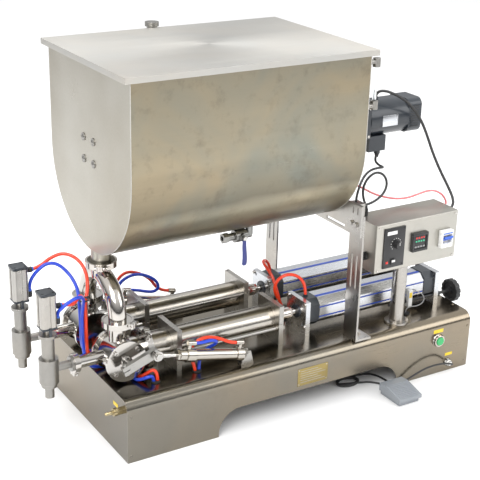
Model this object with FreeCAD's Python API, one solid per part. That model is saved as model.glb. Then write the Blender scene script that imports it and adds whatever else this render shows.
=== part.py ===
import FreeCAD, Part
import math
import os

# Twin-nozzle piston filler for sauces and other liquids, on a bench-top base, with a heated and
# stirred hopper.  Frame in mm: x runs from the nozzles to the handwheel, y from the operator's
# side to the back, z up.  It is drawn about the centre of the base on the bench, and write() moves
# it so that the origin is under the middle of the whole machine.

Vector = FreeCAD.Vector
x_axis = Vector(1, 0, 0)
y_axis = Vector(0, 1, 0)
z_axis = Vector(0, 0, 1)

# ---------------------------------------------------------------- driving dimensions
base_length = 1000.0
base_width = 424.0
base_height = 153.0
sheet = 2.0                     # stainless sheet of the base
deck_bend = 26.0                # outside radius of the long deck edges
base_flange = 24.0              # inward flange that the base stands on
arch_inset = 236.0
arch_height = 65.0
arch_radius = 58.0
slip = 0.3                      # gap between bodies that move past each other
running_fit = 0.08              # radial clearance of a shaft in its bush

left = -base_length / 2
right = base_length / 2
front = -base_width / 2
deck = base_height
frame_shift = Vector(65.5, 29.5, 0)     # puts the origin under the middle of the whole machine

line_offset = 82.0              # each filling line's distance from the middle of the machine
line_height = 55.0              # height of the cylinders' axes over the deck
axis_z = deck + line_height
sides = {"front": -1, "rear": 1}

tube_outer = 63.5               # metering cylinder
tube_wall = 2.0
tube_start = left + 104
tube_end = left + 467
stroke = 300.0
ferrule_radius = 45.5
ferrule_width = 8.0
rod_radius = 8.0
tie_rod_radius = 5.0
tie_rod_side = 37.5
tie_rod_drop = 13.0

saddle_width = 98.0
saddle_thickness = 12.5
saddle_height = 102.0
saddle_places = [left + 168, left + 449]

cylinder_size = 72.0            # square section of the air cylinders
cylinder_bore = 50.0
cap_chamfer = 15.0
cap_length = 32.0
flange_plate = 13.0
flange_start = left + 532
barrel_start = flange_start + flange_plate + cap_length
barrel_end = left + 912
end_plate = 14.5
plate_height = 91.0
plate_width = 84.5

valve_x = left + 41             # axis of both rotary valves
valve_radius = 42.0
valve_bore = 30.0
valve_half = 38.0
cover_radius = 49.0
cover_thickness = 8.0
valve_shaft_radius = 7.0
inlet_radius = 21.0             # pipe from the hopper to each valve
pipe_wall = 1.5
outlet_radius = 15.0            # pipe from each valve to its nozzle
nozzle_pipe_radius = 9.5
valve_turn = 90.0

lever_length = 60.0
lever_rise = 20.0               # rest angle of the levers over the horizontal
lever_thickness = 12.0
lever_offset = 20.0             # gap between a valve's cover and the lever's near face
turn_line = 169.0               # distance of the small cylinders from the middle
pivot_x = left + 331
pivot_z = deck + 24.0
turn_barrel_radius = 13.8
turn_cap_radius = 17.0
turn_rod_radius = 5.0

nozzle_x = left - 128
nozzle_body_radius = 22.0
nozzle_tip_z = 143.0
nozzle_lift = 12.0
stem_radius = 6.0

hopper_left = left + 17
hopper_right = left + 618
hopper_radius = 208.0
hopper_axis_z = 648.0
hopper_top = 880.0
jacket_gap = 26.0
hopper_wall = 2.0
hopper_end = 3.0
lid_overhang = 15.0
lid_sheet = 2.0
lid_skirt = 11.0
neck_radius = 23.5
neck_x = valve_x

shaft_z = 674.0
agitator_shaft_radius = 12.5
paddle_reach = 145.0

motor_radius = 47.0
motor_z = shaft_z - 18

box_left = left + 666
box_right = left + 920
box_depth = 95.0
box_bottom = 328.0
box_top = 452.0
box_sheet = 2.0
post_radius = 18.0
post_x = left + 791
post_y = front + 52

hose_radius = 4.0
grommet_radius = 11.0
grommet_lip = 3.0
hose_pitch = 5.0


# ---------------------------------------------------------------- shape helpers
def block(x0, x1, y0, y1, z0, z1):
    """Box between the given limits."""
    low = Vector(min(x0, x1), min(y0, y1), min(z0, z1))
    return Part.makeBox(abs(x1 - x0), abs(y1 - y0), abs(z1 - z0), low)


def rod(start, direction, radius, length):
    return Part.makeCylinder(radius, length, Vector(*start), Vector(*direction))


def pipe(start, direction, outer, inner, length):
    return rod(start, direction, outer, length).cut(rod(start, direction, inner, length))


def cone(start, direction, radius_a, radius_b, length):
    return Part.makeCone(radius_a, radius_b, length, Vector(*start), Vector(*direction))


def hexagon(start, direction, across, length):
    """Hexagonal prism of the given width across its flats, along direction."""
    corner = across / math.sqrt(3)
    points = [Vector(corner * math.cos(i * math.pi / 3), corner * math.sin(i * math.pi / 3), 0)
              for i in range(7)]
    prism = Part.Face(Part.makePolygon(points)).extrude(Vector(0, 0, length))
    prism.Placement = FreeCAD.Placement(Vector(*start), FreeCAD.Rotation(z_axis, Vector(*direction)))
    return prism


def join(*pieces):
    """One solid from pieces that touch or overlap."""
    whole = pieces[0].fuse(list(pieces[1:]))
    return whole.removeSplitter()


def polygon_yz(points, x0, x1):
    """Prism along x over a polygon of (y, z) points."""
    corners = [Vector(x0, y, z) for y, z in points + points[:1]]
    return Part.Face(Part.makePolygon(corners)).extrude(Vector(x1 - x0, 0, 0))


def trough_section(radius, x0, x1, top):
    """Prism along x with straight sides and a half-round bottom about the hopper's axis."""
    low = Vector(x0, -radius, hopper_axis_z)
    high = Vector(x0, radius, hopper_axis_z)
    bottom = Part.Arc(low, Vector(x0, 0, hopper_axis_z - radius), high).toShape()
    sides_and_top = Part.makePolygon([high, Vector(x0, radius, top), Vector(x0, -radius, top), low])
    return Part.Face(Part.Wire([bottom] + sides_and_top.Edges)).extrude(Vector(x1 - x0, 0, 0))


def base_section(x0, x1, inset):
    """Prism along x of the base's outer profile, moved inward by inset."""
    y0 = front + inset
    y1 = -front - inset
    top = deck - inset
    bend = deck_bend - inset
    body = block(x0, x1, y0, y1, 0, top)
    long_edges = [e for e in body.Edges
                  if abs(e.CenterOfMass.z - top) < 0.01 and abs(e.tangentAt(e.FirstParameter).x) > 0.9]
    return body.makeFillet(bend, long_edges)


def turned(shape, degrees, center, axis):
    copy = shape.copy()
    copy.rotate(Vector(*center), Vector(*axis), degrees)
    return copy


def mirrored(shape):
    """The same shape on the other filling line."""
    return shape.mirror(Vector(0, 0, 0), y_axis)


def write(name, pieces):
    solids = [solid.translated(frame_shift) for piece in pieces for solid in piece.Solids]
    Part.makeCompound(solids).exportStep("parts/" + name + ".step")
    print(name, len(solids), round(sum(solid.Volume for solid in solids) / 1000, 1))


def write_pair(stem, front_pieces):
    """The same piece on both filling lines, one node each."""
    write(stem + "_front", front_pieces)
    write(stem + "_rear", [mirrored(piece) for piece in front_pieces])


def both(pieces):
    return pieces + [mirrored(piece) for piece in pieces]


os.makedirs("parts", exist_ok=True)

# ---------------------------------------------------------------- base
grommets = {
    "nozzle_front": (left + 102, -150.0),
    "turn_front": (left + 210, -150.0),
    "turn_rear": (left + 210, 150.0),
    "nozzle_rear": (left + 62, 0.0),
    "cylinder_loops": (left + 538, -12.0),
    "sensor": (left + 842, -134.0),
}
button_x = left + 892
button_z = 98.0
button_hole = 11.2
gland_x = left + 933
gland_z = 24.0
inlet_y = front + 34
inlet_z = 120.0

panel_return = 15.0
hull = base_section(left, right, 0).cut(base_section(left - 1, right + 1, sheet))
flanges = []
for side in (-1, 1):
    edge = side * (base_width / 2 - sheet)
    for x0, x1 in ((left + panel_return + sheet, left + arch_inset), (right - arch_inset, right - panel_return - sheet)):
        flanges.append(block(x0, x1, edge, edge - side * base_flange, 0, sheet))
hull = join(hull, *flanges)
arch = block(left + arch_inset, right - arch_inset, front - 1, -front + 1, -1, arch_height)
arch_edges = [e for e in arch.Edges
              if abs(e.CenterOfMass.z - arch_height) < 0.01 and abs(e.tangentAt(e.FirstParameter).y) > 0.9]
hull = hull.cut(arch.makeFillet(arch_radius, arch_edges))
for x, y in grommets.values():
    hull = hull.cut(rod((x, y, deck - 10), (0, 0, 1), grommet_radius - 3, 20))
hull = hull.cut(rod((button_x, front - 1, button_z), (0, 1, 0), button_hole, 10))
hull = hull.cut(rod((gland_x, front - 1, gland_z), (0, 1, 0), 6, 10))
write("base_cabinet", [hull])


def end_panel(x_outer, inward):
    """Flat end with a folded rim that lies inside the base's skin."""
    far = x_outer + inward * (panel_return + sheet)
    body = base_section(min(x_outer, far), max(x_outer, far), sheet)
    pocket = base_section(min(x_outer + inward * sheet, far + inward), max(x_outer + inward * sheet, far + inward),
                          2 * sheet)
    return body.cut(pocket)


def button_head(point, direction, radius):
    """Round-headed screw: the head stands on the sheet and the shank goes through it."""
    outward = Vector(*direction)
    base = Vector(*point)
    head = Part.makeSphere(radius * 1.25, base - outward * (radius * 0.75))
    keep = Part.makeCylinder(radius * 1.3, radius, base, outward)
    return head.common(keep)


left_panel = end_panel(left, 1).cut(rod((left - 1, inlet_y, inlet_z), (1, 0, 0), 7, 10))
right_panel = end_panel(right, -1)
screws = []
for x in (left + 9, right - 9):
    for z in (16, deck - 36):
        screws.append(button_head((x, front, z), (0, -1, 0), 3.5))
        screws.append(button_head((x, -front, z), (0, 1, 0), 3.5))
    for y in (-150, 0, 150):
        screws.append(button_head((x, y, deck), (0, 0, 1), 3.5))
write("end_panels", [left_panel, right_panel] + screws)

rubber = []
for x, y in grommets.values():
    lip = rod((x, y, deck), (0, 0, 1), grommet_radius, grommet_lip)
    plug = rod((x, y, deck - sheet - grommet_lip), (0, 0, 1), grommet_radius - 3, sheet + grommet_lip)
    rubber.append(join(lip, plug))
write("deck_grommets", rubber)

bank_x0 = left + 300
bank = [block(bank_x0, bank_x0 + 190, -24, 24, 88, 108)]
for i in range(5):
    x = bank_x0 + 12 + i * 35
    bank.append(block(x, x + 24, -22, 22, 108, 136))
    bank.append(rod((x + 12, -24, 98), (0, -1, 0), 5.5, 16))
for x in (bank_x0, bank_x0 + 184):
    bank.append(block(x, x + 6, 24, 40, 88, deck - sheet))
write("solenoid_valve_bank", bank)

inlet_body = join(hexagon((left, inlet_y, inlet_z), (-1, 0, 0), 17, 11),
                  rod((left, inlet_y, inlet_z), (1, 0, 0), 7, 14))
inlet_ring = pipe((left - 11, inlet_y, inlet_z), (-1, 0, 0), 9.5, 4.6, 8)
inlet_barb = join(rod((left - 11, inlet_y, inlet_z), (-1, 0, 0), 4.6, 8),
                  rod((left - 19, inlet_y, inlet_z), (-1, 0, 0), 5.0, 8))
barb_step = 4.0
for i in range(3):
    inlet_barb = join(inlet_barb, cone((left - 27 - i * barb_step, inlet_y, inlet_z), (-1, 0, 0), 4.6, 3.2, barb_step))
inlet_barb = inlet_barb.cut(rod((left - 60, inlet_y, inlet_z), (1, 0, 0), 2.0, 46))
write("air_inlet_coupling", [inlet_body, inlet_ring, inlet_barb])

cap_radius = 11.0
bezel = pipe((button_x, front, button_z), (0, -1, 0), 14.5, cap_radius + slip, 9)
button_tail = pipe((button_x, front, button_z), (0, 1, 0), button_hole, 9.3, 22)
contact_block = block(button_x - 14, button_x + 14, front + 22, front + 52, button_z - 15, button_z + 15)
button_travel = 4.0
green_cap = join(rod((button_x, front - 12, button_z), (0, 1, 0), cap_radius, 7),
                 rod((button_x, front - 5, button_z), (0, 1, 0), 6, 20))
write("start_button", [green_cap])

gland = join(rod((gland_x, front + sheet + 6, gland_z), (0, -1, 0), 6, sheet + 6),
             hexagon((gland_x, front, gland_z), (0, -1, 0), 18, 5),
             rod((gland_x, front - 5, gland_z), (0, -1, 0), 7, 7))

# ---------------------------------------------------------------- metering cylinders and their saddles
line_y = -line_offset


def saddle(x0):
    """Split clamp block round the metering tube: lower half, upper half and two bolts."""
    y0 = line_y - saddle_width / 2
    y1 = line_y + saddle_width / 2
    split = 0.6
    bore = rod((x0 - 1, line_y, axis_z), (1, 0, 0), tube_outer / 2, saddle_thickness + 2)
    lower = block(x0, x0 + saddle_thickness, y0, y1, deck, axis_z - split / 2).cut(bore)
    upper = block(x0, x0 + saddle_thickness, y0, y1, axis_z + split / 2, deck + saddle_height).cut(bore)
    bolts = []
    for side in (-1, 1):
        y = line_y + side * (saddle_width / 2 - 3.9)
        x = x0 + saddle_thickness / 2
        hole = rod((x, y, axis_z - 30), (0, 0, 1), 2.0, 90)
        counterbore = rod((x, y, deck + saddle_height - 5), (0, 0, 1), 3.6, 10)
        lower = lower.cut(hole)
        upper = upper.cut(hole).cut(counterbore)
        head = rod((x, y, deck + saddle_height - 5), (0, 0, 1), 3.4, 4).cut(
            rod((x, y, deck + saddle_height - 3), (0, 0, 1), 1.6, 4))
        bolts.append(join(head, rod((x, y, axis_z - 28), (0, 0, 1), 1.9, saddle_height - line_height + 24)))
    return lower, upper, bolts


def tie_rod_hole(side, x0, x1):
    y = line_y + side * tie_rod_side
    z = axis_z + side * tie_rod_drop
    return rod((x0, y, z), (1, 0, 0), tie_rod_radius + 0.02, x1 - x0)


halves = []
bolts = []
for x0 in saddle_places:
    lower, upper, saddle_bolts = saddle(x0)
    lower = lower.cut(tie_rod_hole(-1, x0 - 1, x0 + 20))
    upper = upper.cut(tie_rod_hole(1, x0 - 1, x0 + 20))
    halves += [lower, upper]
    bolts += saddle_bolts

tie_start = tube_start + 2 * ferrule_width
tie_end = saddle_places[1] + saddle_thickness
tie_parts = []
for side in (-1, 1):
    y = line_y + side * tie_rod_side
    z = axis_z + side * tie_rod_drop
    bar = rod((tie_start, y, z), (1, 0, 0), tie_rod_radius, tie_end - tie_start)
    nut = hexagon((tie_end, y, z), (1, 0, 0), 15, 7)
    tie_parts.append(join(bar, nut))
yoke_bar = block(tie_start - ferrule_width, tie_start, line_y - 48, line_y + 48, axis_z - 20, axis_z + 20)
yoke_bar = turned(yoke_bar, math.degrees(math.atan2(tie_rod_drop, tie_rod_side)), (0, line_y, axis_z), (1, 0, 0))
yoke_bar = yoke_bar.cut(rod((tie_start - 20, line_y, axis_z), (1, 0, 0), tube_outer / 2, 40))

tube_inner = tube_outer / 2 - tube_wall
tube = pipe((tube_start, line_y, axis_z), (1, 0, 0), tube_outer / 2, tube_inner, tube_end - tube_start)
tube_ferrule = pipe((tube_start, line_y, axis_z), (1, 0, 0), ferrule_radius, tube_inner, ferrule_width)
write("metering_cylinders", both([join(tube, tube_ferrule)]))

# ---------------------------------------------------------------- pistons and drive rods
piston_face = left + 432
piston_length = 30.0
air_piston_x = barrel_end - 27
piston_head = rod((piston_face, line_y, axis_z), (1, 0, 0), tube_inner - 0.6, piston_length)
seals = []
for x in (piston_face + 5, piston_face + 19):
    groove = pipe((x, line_y, axis_z), (1, 0, 0), tube_inner, tube_inner - 4, 6)
    piston_head = piston_head.cut(groove)
    seals.append(pipe((x, line_y, axis_z), (1, 0, 0), tube_inner - running_fit, tube_inner - 4, 6))
drive = join(
    rod((piston_face + piston_length, line_y, axis_z), (1, 0, 0), rod_radius,
        air_piston_x + 14 - piston_face - piston_length),
    rod((left + 480, line_y, axis_z), (1, 0, 0), 15, 26),
    hexagon((left + 506, line_y, axis_z), (1, 0, 0), 24, 8))
air_piston = pipe((air_piston_x, line_y, axis_z), (1, 0, 0), cylinder_bore / 2 - running_fit, rod_radius, 14)
write_pair("piston", [piston_head, drive, air_piston] + seals)


# ---------------------------------------------------------------- air cylinders
def chamfered_square(half, chamfer, x0, x1):
    """Prism along x over a square with cut corners, about the cylinder's axis."""
    inner = half - chamfer
    around = [(half, -inner), (half, inner), (inner, half), (-inner, half),
              (-half, inner), (-half, -inner), (-inner, -half), (inner, -half)]
    return polygon_yz([(line_y + y, axis_z + z) for y, z in around], x0, x1)


half = cylinder_size / 2
barrel = chamfered_square(half - 2, cap_chamfer, barrel_start, barrel_end)
barrel = barrel.cut(rod((barrel_start - 1, line_y, axis_z), (1, 0, 0), cylinder_bore / 2, barrel_end - barrel_start + 2))
for side in (-1, 1):
    for z in (-13, 13):
        groove = block(barrel_start - 1, barrel_end + 1, line_y + side * (half - 5), line_y + side * half,
                       axis_z + z - 2, axis_z + z + 2)
        barrel = barrel.cut(groove)
write("air_cylinder_barrels", both([barrel]))

front_cap = chamfered_square(half, cap_chamfer, flange_start + flange_plate, barrel_start)
front_cap = front_cap.cut(rod((flange_start, line_y, axis_z), (1, 0, 0), rod_radius + running_fit, 60))
back_cap = chamfered_square(half, cap_chamfer, barrel_end, barrel_end + cap_length)
port_fitting = rod((flange_start + flange_plate + 12, line_y, axis_z + half - 10), (0, 0, 1), 6, 14)
front_cap = front_cap.cut(port_fitting)
nose = pipe((flange_start - 3, line_y, axis_z), (1, 0, 0), 17, rod_radius + running_fit, 3 + flange_plate)

write("air_cylinder_caps", both([join(front_cap, nose), back_cap, port_fitting]))

plates = []
end_plate_x = barrel_end + cap_length
screw_y = line_y - 33
screw_z = deck + 24
screw_radius = 4.0
for x0, thickness in ((flange_start, flange_plate), (end_plate_x, end_plate)):
    plate = block(x0, x0 + thickness, line_y - plate_width / 2, line_y + plate_width / 2, deck, deck + plate_height)
    if x0 == flange_start:
        plate = plate.cut(rod((x0 - 1, line_y, axis_z), (1, 0, 0), 17, thickness + 2))
        for side_y in (-1, 1):
            for side_z in (-1, 1):
                plate = plate.cut(rod((x0 - 1, line_y + side_y * 27, axis_z + side_z * 27), (1, 0, 0), 3.5, 6))
    plates.append(plate)
flange_pair = plates[0]
end_front = plates[1].cut(rod((end_plate_x - 1, screw_y, screw_z), (1, 0, 0), screw_radius + running_fit, end_plate + 2))
write("cylinder_plates", both([flange_pair]) + [end_front, mirrored(plates[1])])

# ---------------------------------------------------------------- stroke adjuster
wheel_x = left + 1005
wheel_radius = 31.0
screw_start = left + 800
screw = rod((screw_start, screw_y, screw_z), (1, 0, 0), screw_radius, wheel_x - screw_start + 10)
collar = rod((end_plate_x + end_plate + slip, screw_y, screw_z), (1, 0, 0), 8, 8)
wheel = rod((wheel_x, screw_y, screw_z), (1, 0, 0), wheel_radius, 14)
dish = rod((wheel_x - 1, screw_y, screw_z), (1, 0, 0), wheel_radius - 7, 6)
hub = rod((wheel_x - 2, screw_y, screw_z), (1, 0, 0), 9, 10)
wheel = join(wheel.cut(dish), hub)
for i in range(12):
    angle = i * math.pi / 6
    notch = rod((wheel_x - 1, screw_y + (wheel_radius + 2) * math.cos(angle),
                 screw_z + (wheel_radius + 2) * math.sin(angle)), (1, 0, 0), 4, 16)
    wheel = wheel.cut(notch)
bore = rod((screw_start - 1, screw_y, screw_z), (1, 0, 0), screw_radius, wheel_x - screw_start + 11)
write("handwheel", [wheel.cut(bore), join(screw, collar)])

sensor_x = left + 856
sensor_block = block(sensor_x, sensor_x + 12, screw_y - 12, line_y - half + 2 - slip, screw_z - 13, screw_z + 34)
half_nut = block(sensor_x, sensor_x + 12, screw_y - 12, screw_y + 6, screw_z - 13, screw_z + 2)
sensor_block = join(sensor_block, half_nut).cut(rod((sensor_x - 1, screw_y, screw_z), (1, 0, 0),
                                                    screw_radius + slip, 14))
write("stroke_sensor", [sensor_block])

# ---------------------------------------------------------------- rotary valves
barrel_front = line_y - valve_half
barrel_back = line_y + valve_half
valve = rod((valve_x, barrel_front, axis_z), (0, 1, 0), valve_radius, 2 * valve_half)
back_flange = rod((valve_x, barrel_back - cover_thickness, axis_z), (0, 1, 0), cover_radius, cover_thickness)
cylinder_port = rod((valve_x, line_y, axis_z), (1, 0, 0), tube_outer / 2, tube_start - valve_x)
cylinder_flange = rod((tube_start - ferrule_width, line_y, axis_z), (1, 0, 0), ferrule_radius, ferrule_width)
inlet_top = 289.0
inlet_port = rod((valve_x, line_y, axis_z), (0, 0, 1), inlet_radius, inlet_top - axis_z)
inlet_flange = rod((valve_x, line_y, inlet_top - 6), (0, 0, 1), 32, 6)
outlet_end = left - 66
outlet_z = axis_z + 4
outlet_port = rod((valve_x, line_y, outlet_z), (-1, 0, 0), outlet_radius, valve_x - outlet_end)
outlet_flange = rod((outlet_end + 6, line_y, outlet_z), (-1, 0, 0), 17.5, 6)
valve = join(valve, back_flange, cylinder_port, cylinder_flange, inlet_port, inlet_flange, outlet_port, outlet_flange)
valve = valve.cut(rod((valve_x, barrel_front - 1, axis_z), (0, 1, 0), valve_bore, 2 * valve_half - cover_thickness + 1))
valve = valve.cut(rod((valve_x, line_y, axis_z), (1, 0, 0), tube_inner - 6, tube_start - valve_x + 1))
valve = valve.cut(rod((valve_x, line_y, axis_z), (0, 0, 1), inlet_radius - pipe_wall, inlet_top - axis_z + 1))
valve = valve.cut(rod((valve_x, line_y, outlet_z), (-1, 0, 0), outlet_radius - pipe_wall, valve_x - outlet_end + 1))

cover_face = barrel_front - cover_thickness
cover = rod((valve_x, cover_face, axis_z), (0, 1, 0), cover_radius, cover_thickness)
boss = rod((valve_x, cover_face - 5, axis_z), (0, 1, 0), 13, 5)
cover = join(cover, boss)
cover = cover.cut(rod((valve_x, cover_face - 6, axis_z), (0, 1, 0), valve_shaft_radius + running_fit, cover_thickness + 7))
cover_bolts = []
for i in range(4):
    angle = math.radians(45 + 90 * i)
    x = valve_x + 38 * math.cos(angle)
    z = axis_z + 38 * math.sin(angle)
    cover_bolts.append(rod((x, cover_face, z), (0, -1, 0), 5, 4).cut(hexagon((x, cover_face - 2, z), (0, -1, 0), 4.5, 3)))
write("valve_bodies", both([valve, cover] + cover_bolts))

core_back = barrel_back - cover_thickness - slip
core = rod((valve_x, barrel_front + slip, axis_z), (0, 1, 0), valve_bore - running_fit, core_back - barrel_front - slip)
passage = join(rod((valve_x, line_y, axis_z), (0, 0, 1), 17, valve_bore + 5),
               rod((valve_x, line_y, axis_z), (1, 0, 0), 17, valve_bore + 5))
core = core.cut(passage)
lever_face = cover_face - lever_offset
shaft = rod((valve_x, lever_face - lever_thickness - 1, axis_z), (0, 1, 0), valve_shaft_radius,
            barrel_front + slip - lever_face + lever_thickness + 1)

lever = block(valve_x - 24, valve_x + lever_length, lever_face - lever_thickness, lever_face, axis_z - 11, axis_z + 11)
lever_eye = rod((valve_x + lever_length, lever_face, axis_z), (0, -1, 0), 11, lever_thickness)
lever = join(lever, lever_eye)
lever = lever.cut(rod((valve_x, lever_face - 20, axis_z), (0, 1, 0), valve_shaft_radius, 40))
lever = lever.cut(block(valve_x - 30, valve_x, lever_face - 20, lever_face + 5, axis_z - 1, axis_z + 1))
clamp_screw = rod((valve_x - 15, lever_face - lever_thickness / 2, axis_z - 15), (0, 0, 1), 2.5, 30)
clamp_head = rod((valve_x - 15, lever_face - lever_thickness / 2, axis_z + 11), (0, 0, 1), 4.5, 5)
lever_screw = join(clamp_screw, clamp_head)
lever = lever.cut(clamp_screw)
rest = [turned(piece, -lever_rise, (valve_x, 0, axis_z), (0, 1, 0)) for piece in (lever, lever_screw)]
write_pair("valve_rotor", [join(core, shaft)] + rest)

# ---------------------------------------------------------------- cylinders that turn the valves
turn_y = -turn_line
eye_x = valve_x + lever_length * math.cos(math.radians(lever_rise))
eye_z = axis_z + lever_length * math.sin(math.radians(lever_rise))
reach = math.hypot(eye_x - pivot_x, eye_z - pivot_z)
tilt = math.degrees(math.atan2(eye_z - pivot_z, pivot_x - eye_x))


def along(distance):
    """Point on the small cylinder's line, measured from its pivot, before it is tilted."""
    return (pivot_x - distance, turn_y, pivot_z)


def tilted(shape):
    return turned(shape, tilt, (pivot_x, 0, pivot_z), (0, 1, 0))


back_cap_at = 12.0
barrel_at = 30.0
front_cap_at = 144.0
front_cap_end = 190.0
tang = join(rod(along(back_cap_at), (-1, 0, 0), turn_cap_radius, barrel_at - back_cap_at),
            block(pivot_x - back_cap_at - 1, pivot_x + 7, turn_y - 5, turn_y + 5, pivot_z - 8, pivot_z + 8))
tang = tang.cut(rod((pivot_x, turn_y - 10, pivot_z), (0, 1, 0), 4, 20))
small_barrel = pipe(along(barrel_at), (-1, 0, 0), turn_barrel_radius, 12.5, front_cap_at - barrel_at)
nose_cap = join(rod(along(front_cap_at), (-1, 0, 0), turn_cap_radius, 22),
                rod(along(front_cap_at + 22), (-1, 0, 0), 14, 18),
                hexagon(along(front_cap_at + 40), (-1, 0, 0), 22, 6))
nose_cap = nose_cap.cut(rod(along(front_cap_at - 1), (-1, 0, 0), turn_rod_radius + running_fit, 60))
elbow_rise = turn_cap_radius + 12
elbow_places = ((21.0, -1), (front_cap_at + 16, 1))
elbows = []
for distance, outward in elbow_places:
    x = pivot_x - distance
    stub = rod((x, turn_y, pivot_z + turn_cap_radius - 1), (0, 0, 1), 5, 10)
    body = rod((x - outward * 6, turn_y, pivot_z + elbow_rise), (outward, 0, 0), 6, 20)
    elbows.append(join(stub, body))
write_pair("turn_cylinder", [tilted(piece) for piece in [join(tang, small_barrel, nose_cap)] + elbows])

eye = join(rod((pivot_x - reach, turn_y - 6, pivot_z), (0, 1, 0), 12, 12),
           rod(along(reach - 30), (-1, 0, 0), 6.5, 22))
bolt_hole = rod((pivot_x - reach, turn_y - 10, pivot_z), (0, 1, 0), 5, 20)
eye = eye.cut(bolt_hole)
bolt_tip = lever_face - lever_thickness - slip
eye_bolt = join(rod((pivot_x - reach, turn_y - 6, pivot_z), (0, 1, 0), 5, bolt_tip - turn_y + 6),
                hexagon((pivot_x - reach, turn_y - 6, pivot_z), (0, -1, 0), 15, 6))
piston_at = 42.0
turn_rod = rod(along(reach - 30), (1, 0, 0), turn_rod_radius, reach - 30 - piston_at)
turn_piston = rod(along(piston_at), (-1, 0, 0), 12.5 - running_fit, 12)
write_pair("turn_rod", [tilted(join(turn_rod, turn_piston, eye)), tilted(eye_bolt)])

cheeks = []
for side in (-1, 1):
    y = turn_y + side * 7.5
    outline = [Vector(pivot_x - 17, y - 1.5, deck), Vector(pivot_x + 17, y - 1.5, deck),
               Vector(pivot_x + 9, y - 1.5, pivot_z + 9), Vector(pivot_x - 9, y - 1.5, pivot_z + 9),
               Vector(pivot_x - 17, y - 1.5, deck)]
    cheek = Part.Face(Part.makePolygon(outline)).extrude(Vector(0, 3, 0))
    cheeks.append(cheek)
foot = block(pivot_x - 17, pivot_x + 17, turn_y - 9, turn_y + 9, deck, deck + 3)
bracket = join(foot, *cheeks).cut(rod((pivot_x, turn_y - 20, pivot_z), (0, 1, 0), 4, 40))
pivot_pin = join(rod((pivot_x, turn_y - 12, pivot_z), (0, 1, 0), 4 - running_fit, 24),
                 rod((pivot_x, turn_y - 13, pivot_z), (0, 1, 0), 6.5, 4))
write("deck_brackets", both(halves + bolts + tie_parts + [yoke_bar, bracket, pivot_pin]))

# ---------------------------------------------------------------- nozzles
body_low = 180.0
body_high = 239.0
neck_high = 291.0
body = join(rod((nozzle_x, line_y, body_low), (0, 0, 1), nozzle_body_radius, body_high - body_low),
            rod((nozzle_x, line_y, body_high), (0, 0, 1), 14.5, neck_high - body_high),
            rod((nozzle_x, line_y, neck_high), (0, 0, 1), 20, 7),
            rod((nozzle_x, line_y, body_low - 10), (0, 0, 1), 18, 10),
            rod((nozzle_x, line_y, nozzle_tip_z), (0, 0, 1), 10.5, body_low - 10 - nozzle_tip_z),
            rod((nozzle_x, line_y, outlet_z), (1, 0, 0), nozzle_pipe_radius, outlet_end - 6 - nozzle_x),
            rod((outlet_end - 12, line_y, outlet_z), (1, 0, 0), 17.5, 6))
tip_bore = 7.5
body = body.cut(rod((nozzle_x, line_y, nozzle_tip_z - 1), (0, 0, 1), tip_bore, 60))
body = body.cut(rod((nozzle_x, line_y, body_low - 2), (0, 0, 1), 15, body_high - body_low - 4))
body = body.cut(rod((nozzle_x, line_y, body_low), (0, 0, 1), stem_radius + running_fit, 130))
body = body.cut(rod((nozzle_x, line_y, outlet_z), (1, 0, 0), nozzle_pipe_radius - pipe_wall, 80))
write("nozzle_bodies", both([body]))

actuator_low = 312.0
actuator_high = 400.0
yoke = [block(nozzle_x - 3, nozzle_x + 3, line_y + side * 16, line_y + side * 20, neck_high + 7, actuator_low)
        for side in (-1, 1)]
actuator = block(nozzle_x - 18, nozzle_x + 18, line_y - 18, line_y + 18, actuator_low, actuator_high)
upright = [e for e in actuator.Edges if abs(e.tangentAt(e.FirstParameter).z) > 0.9]
actuator = actuator.makeFillet(7, upright)
actuator = join(actuator, block(nozzle_x - 5, nozzle_x + 5, line_y - 20, line_y + 20, actuator_low, actuator_low + 4),
                *yoke)
actuator = actuator.cut(rod((nozzle_x, line_y, actuator_low + 10), (0, 0, 1), 12.5, actuator_high - actuator_low - 16))
actuator = actuator.cut(rod((nozzle_x, line_y, actuator_low - 1), (0, 0, 1), stem_radius + running_fit, 20))


def nozzle_fittings(side, upper_z):
    """Push-in fittings: the upper one points along the machine, the lower one up."""
    y = side * line_offset
    face = nozzle_x + 18
    upper = join(rod((face, y, upper_z), (1, 0, 0), 5, 6), rod((face + 6, y, upper_z), (1, 0, 0), 6.5, 12))
    lower_z = actuator_low + 12
    lower = join(rod((face, y, lower_z), (1, 0, 0), 4.5, 7), rod((face + 7, y, lower_z - 7), (0, 0, 1), 6, 19))
    return [upper, lower]


upper_fitting = {"front": 360.0, "rear": 384.0}
push_in = nozzle_fittings(-1, upper_fitting["front"]) + nozzle_fittings(1, upper_fitting["rear"])
write("nozzle_cylinders", both([actuator]) + push_in)

stem = join(rod((nozzle_x, line_y, 178), (0, 0, 1), stem_radius, actuator_low + 22 - 178),
            rod((nozzle_x, line_y, actuator_low + 12), (0, 0, 1), 12.5 - running_fit, 10),
            rod((nozzle_x, line_y, 169), (0, 0, 1), tip_bore - running_fit, 9))
write_pair("nozzle_stem", [stem])


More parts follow.
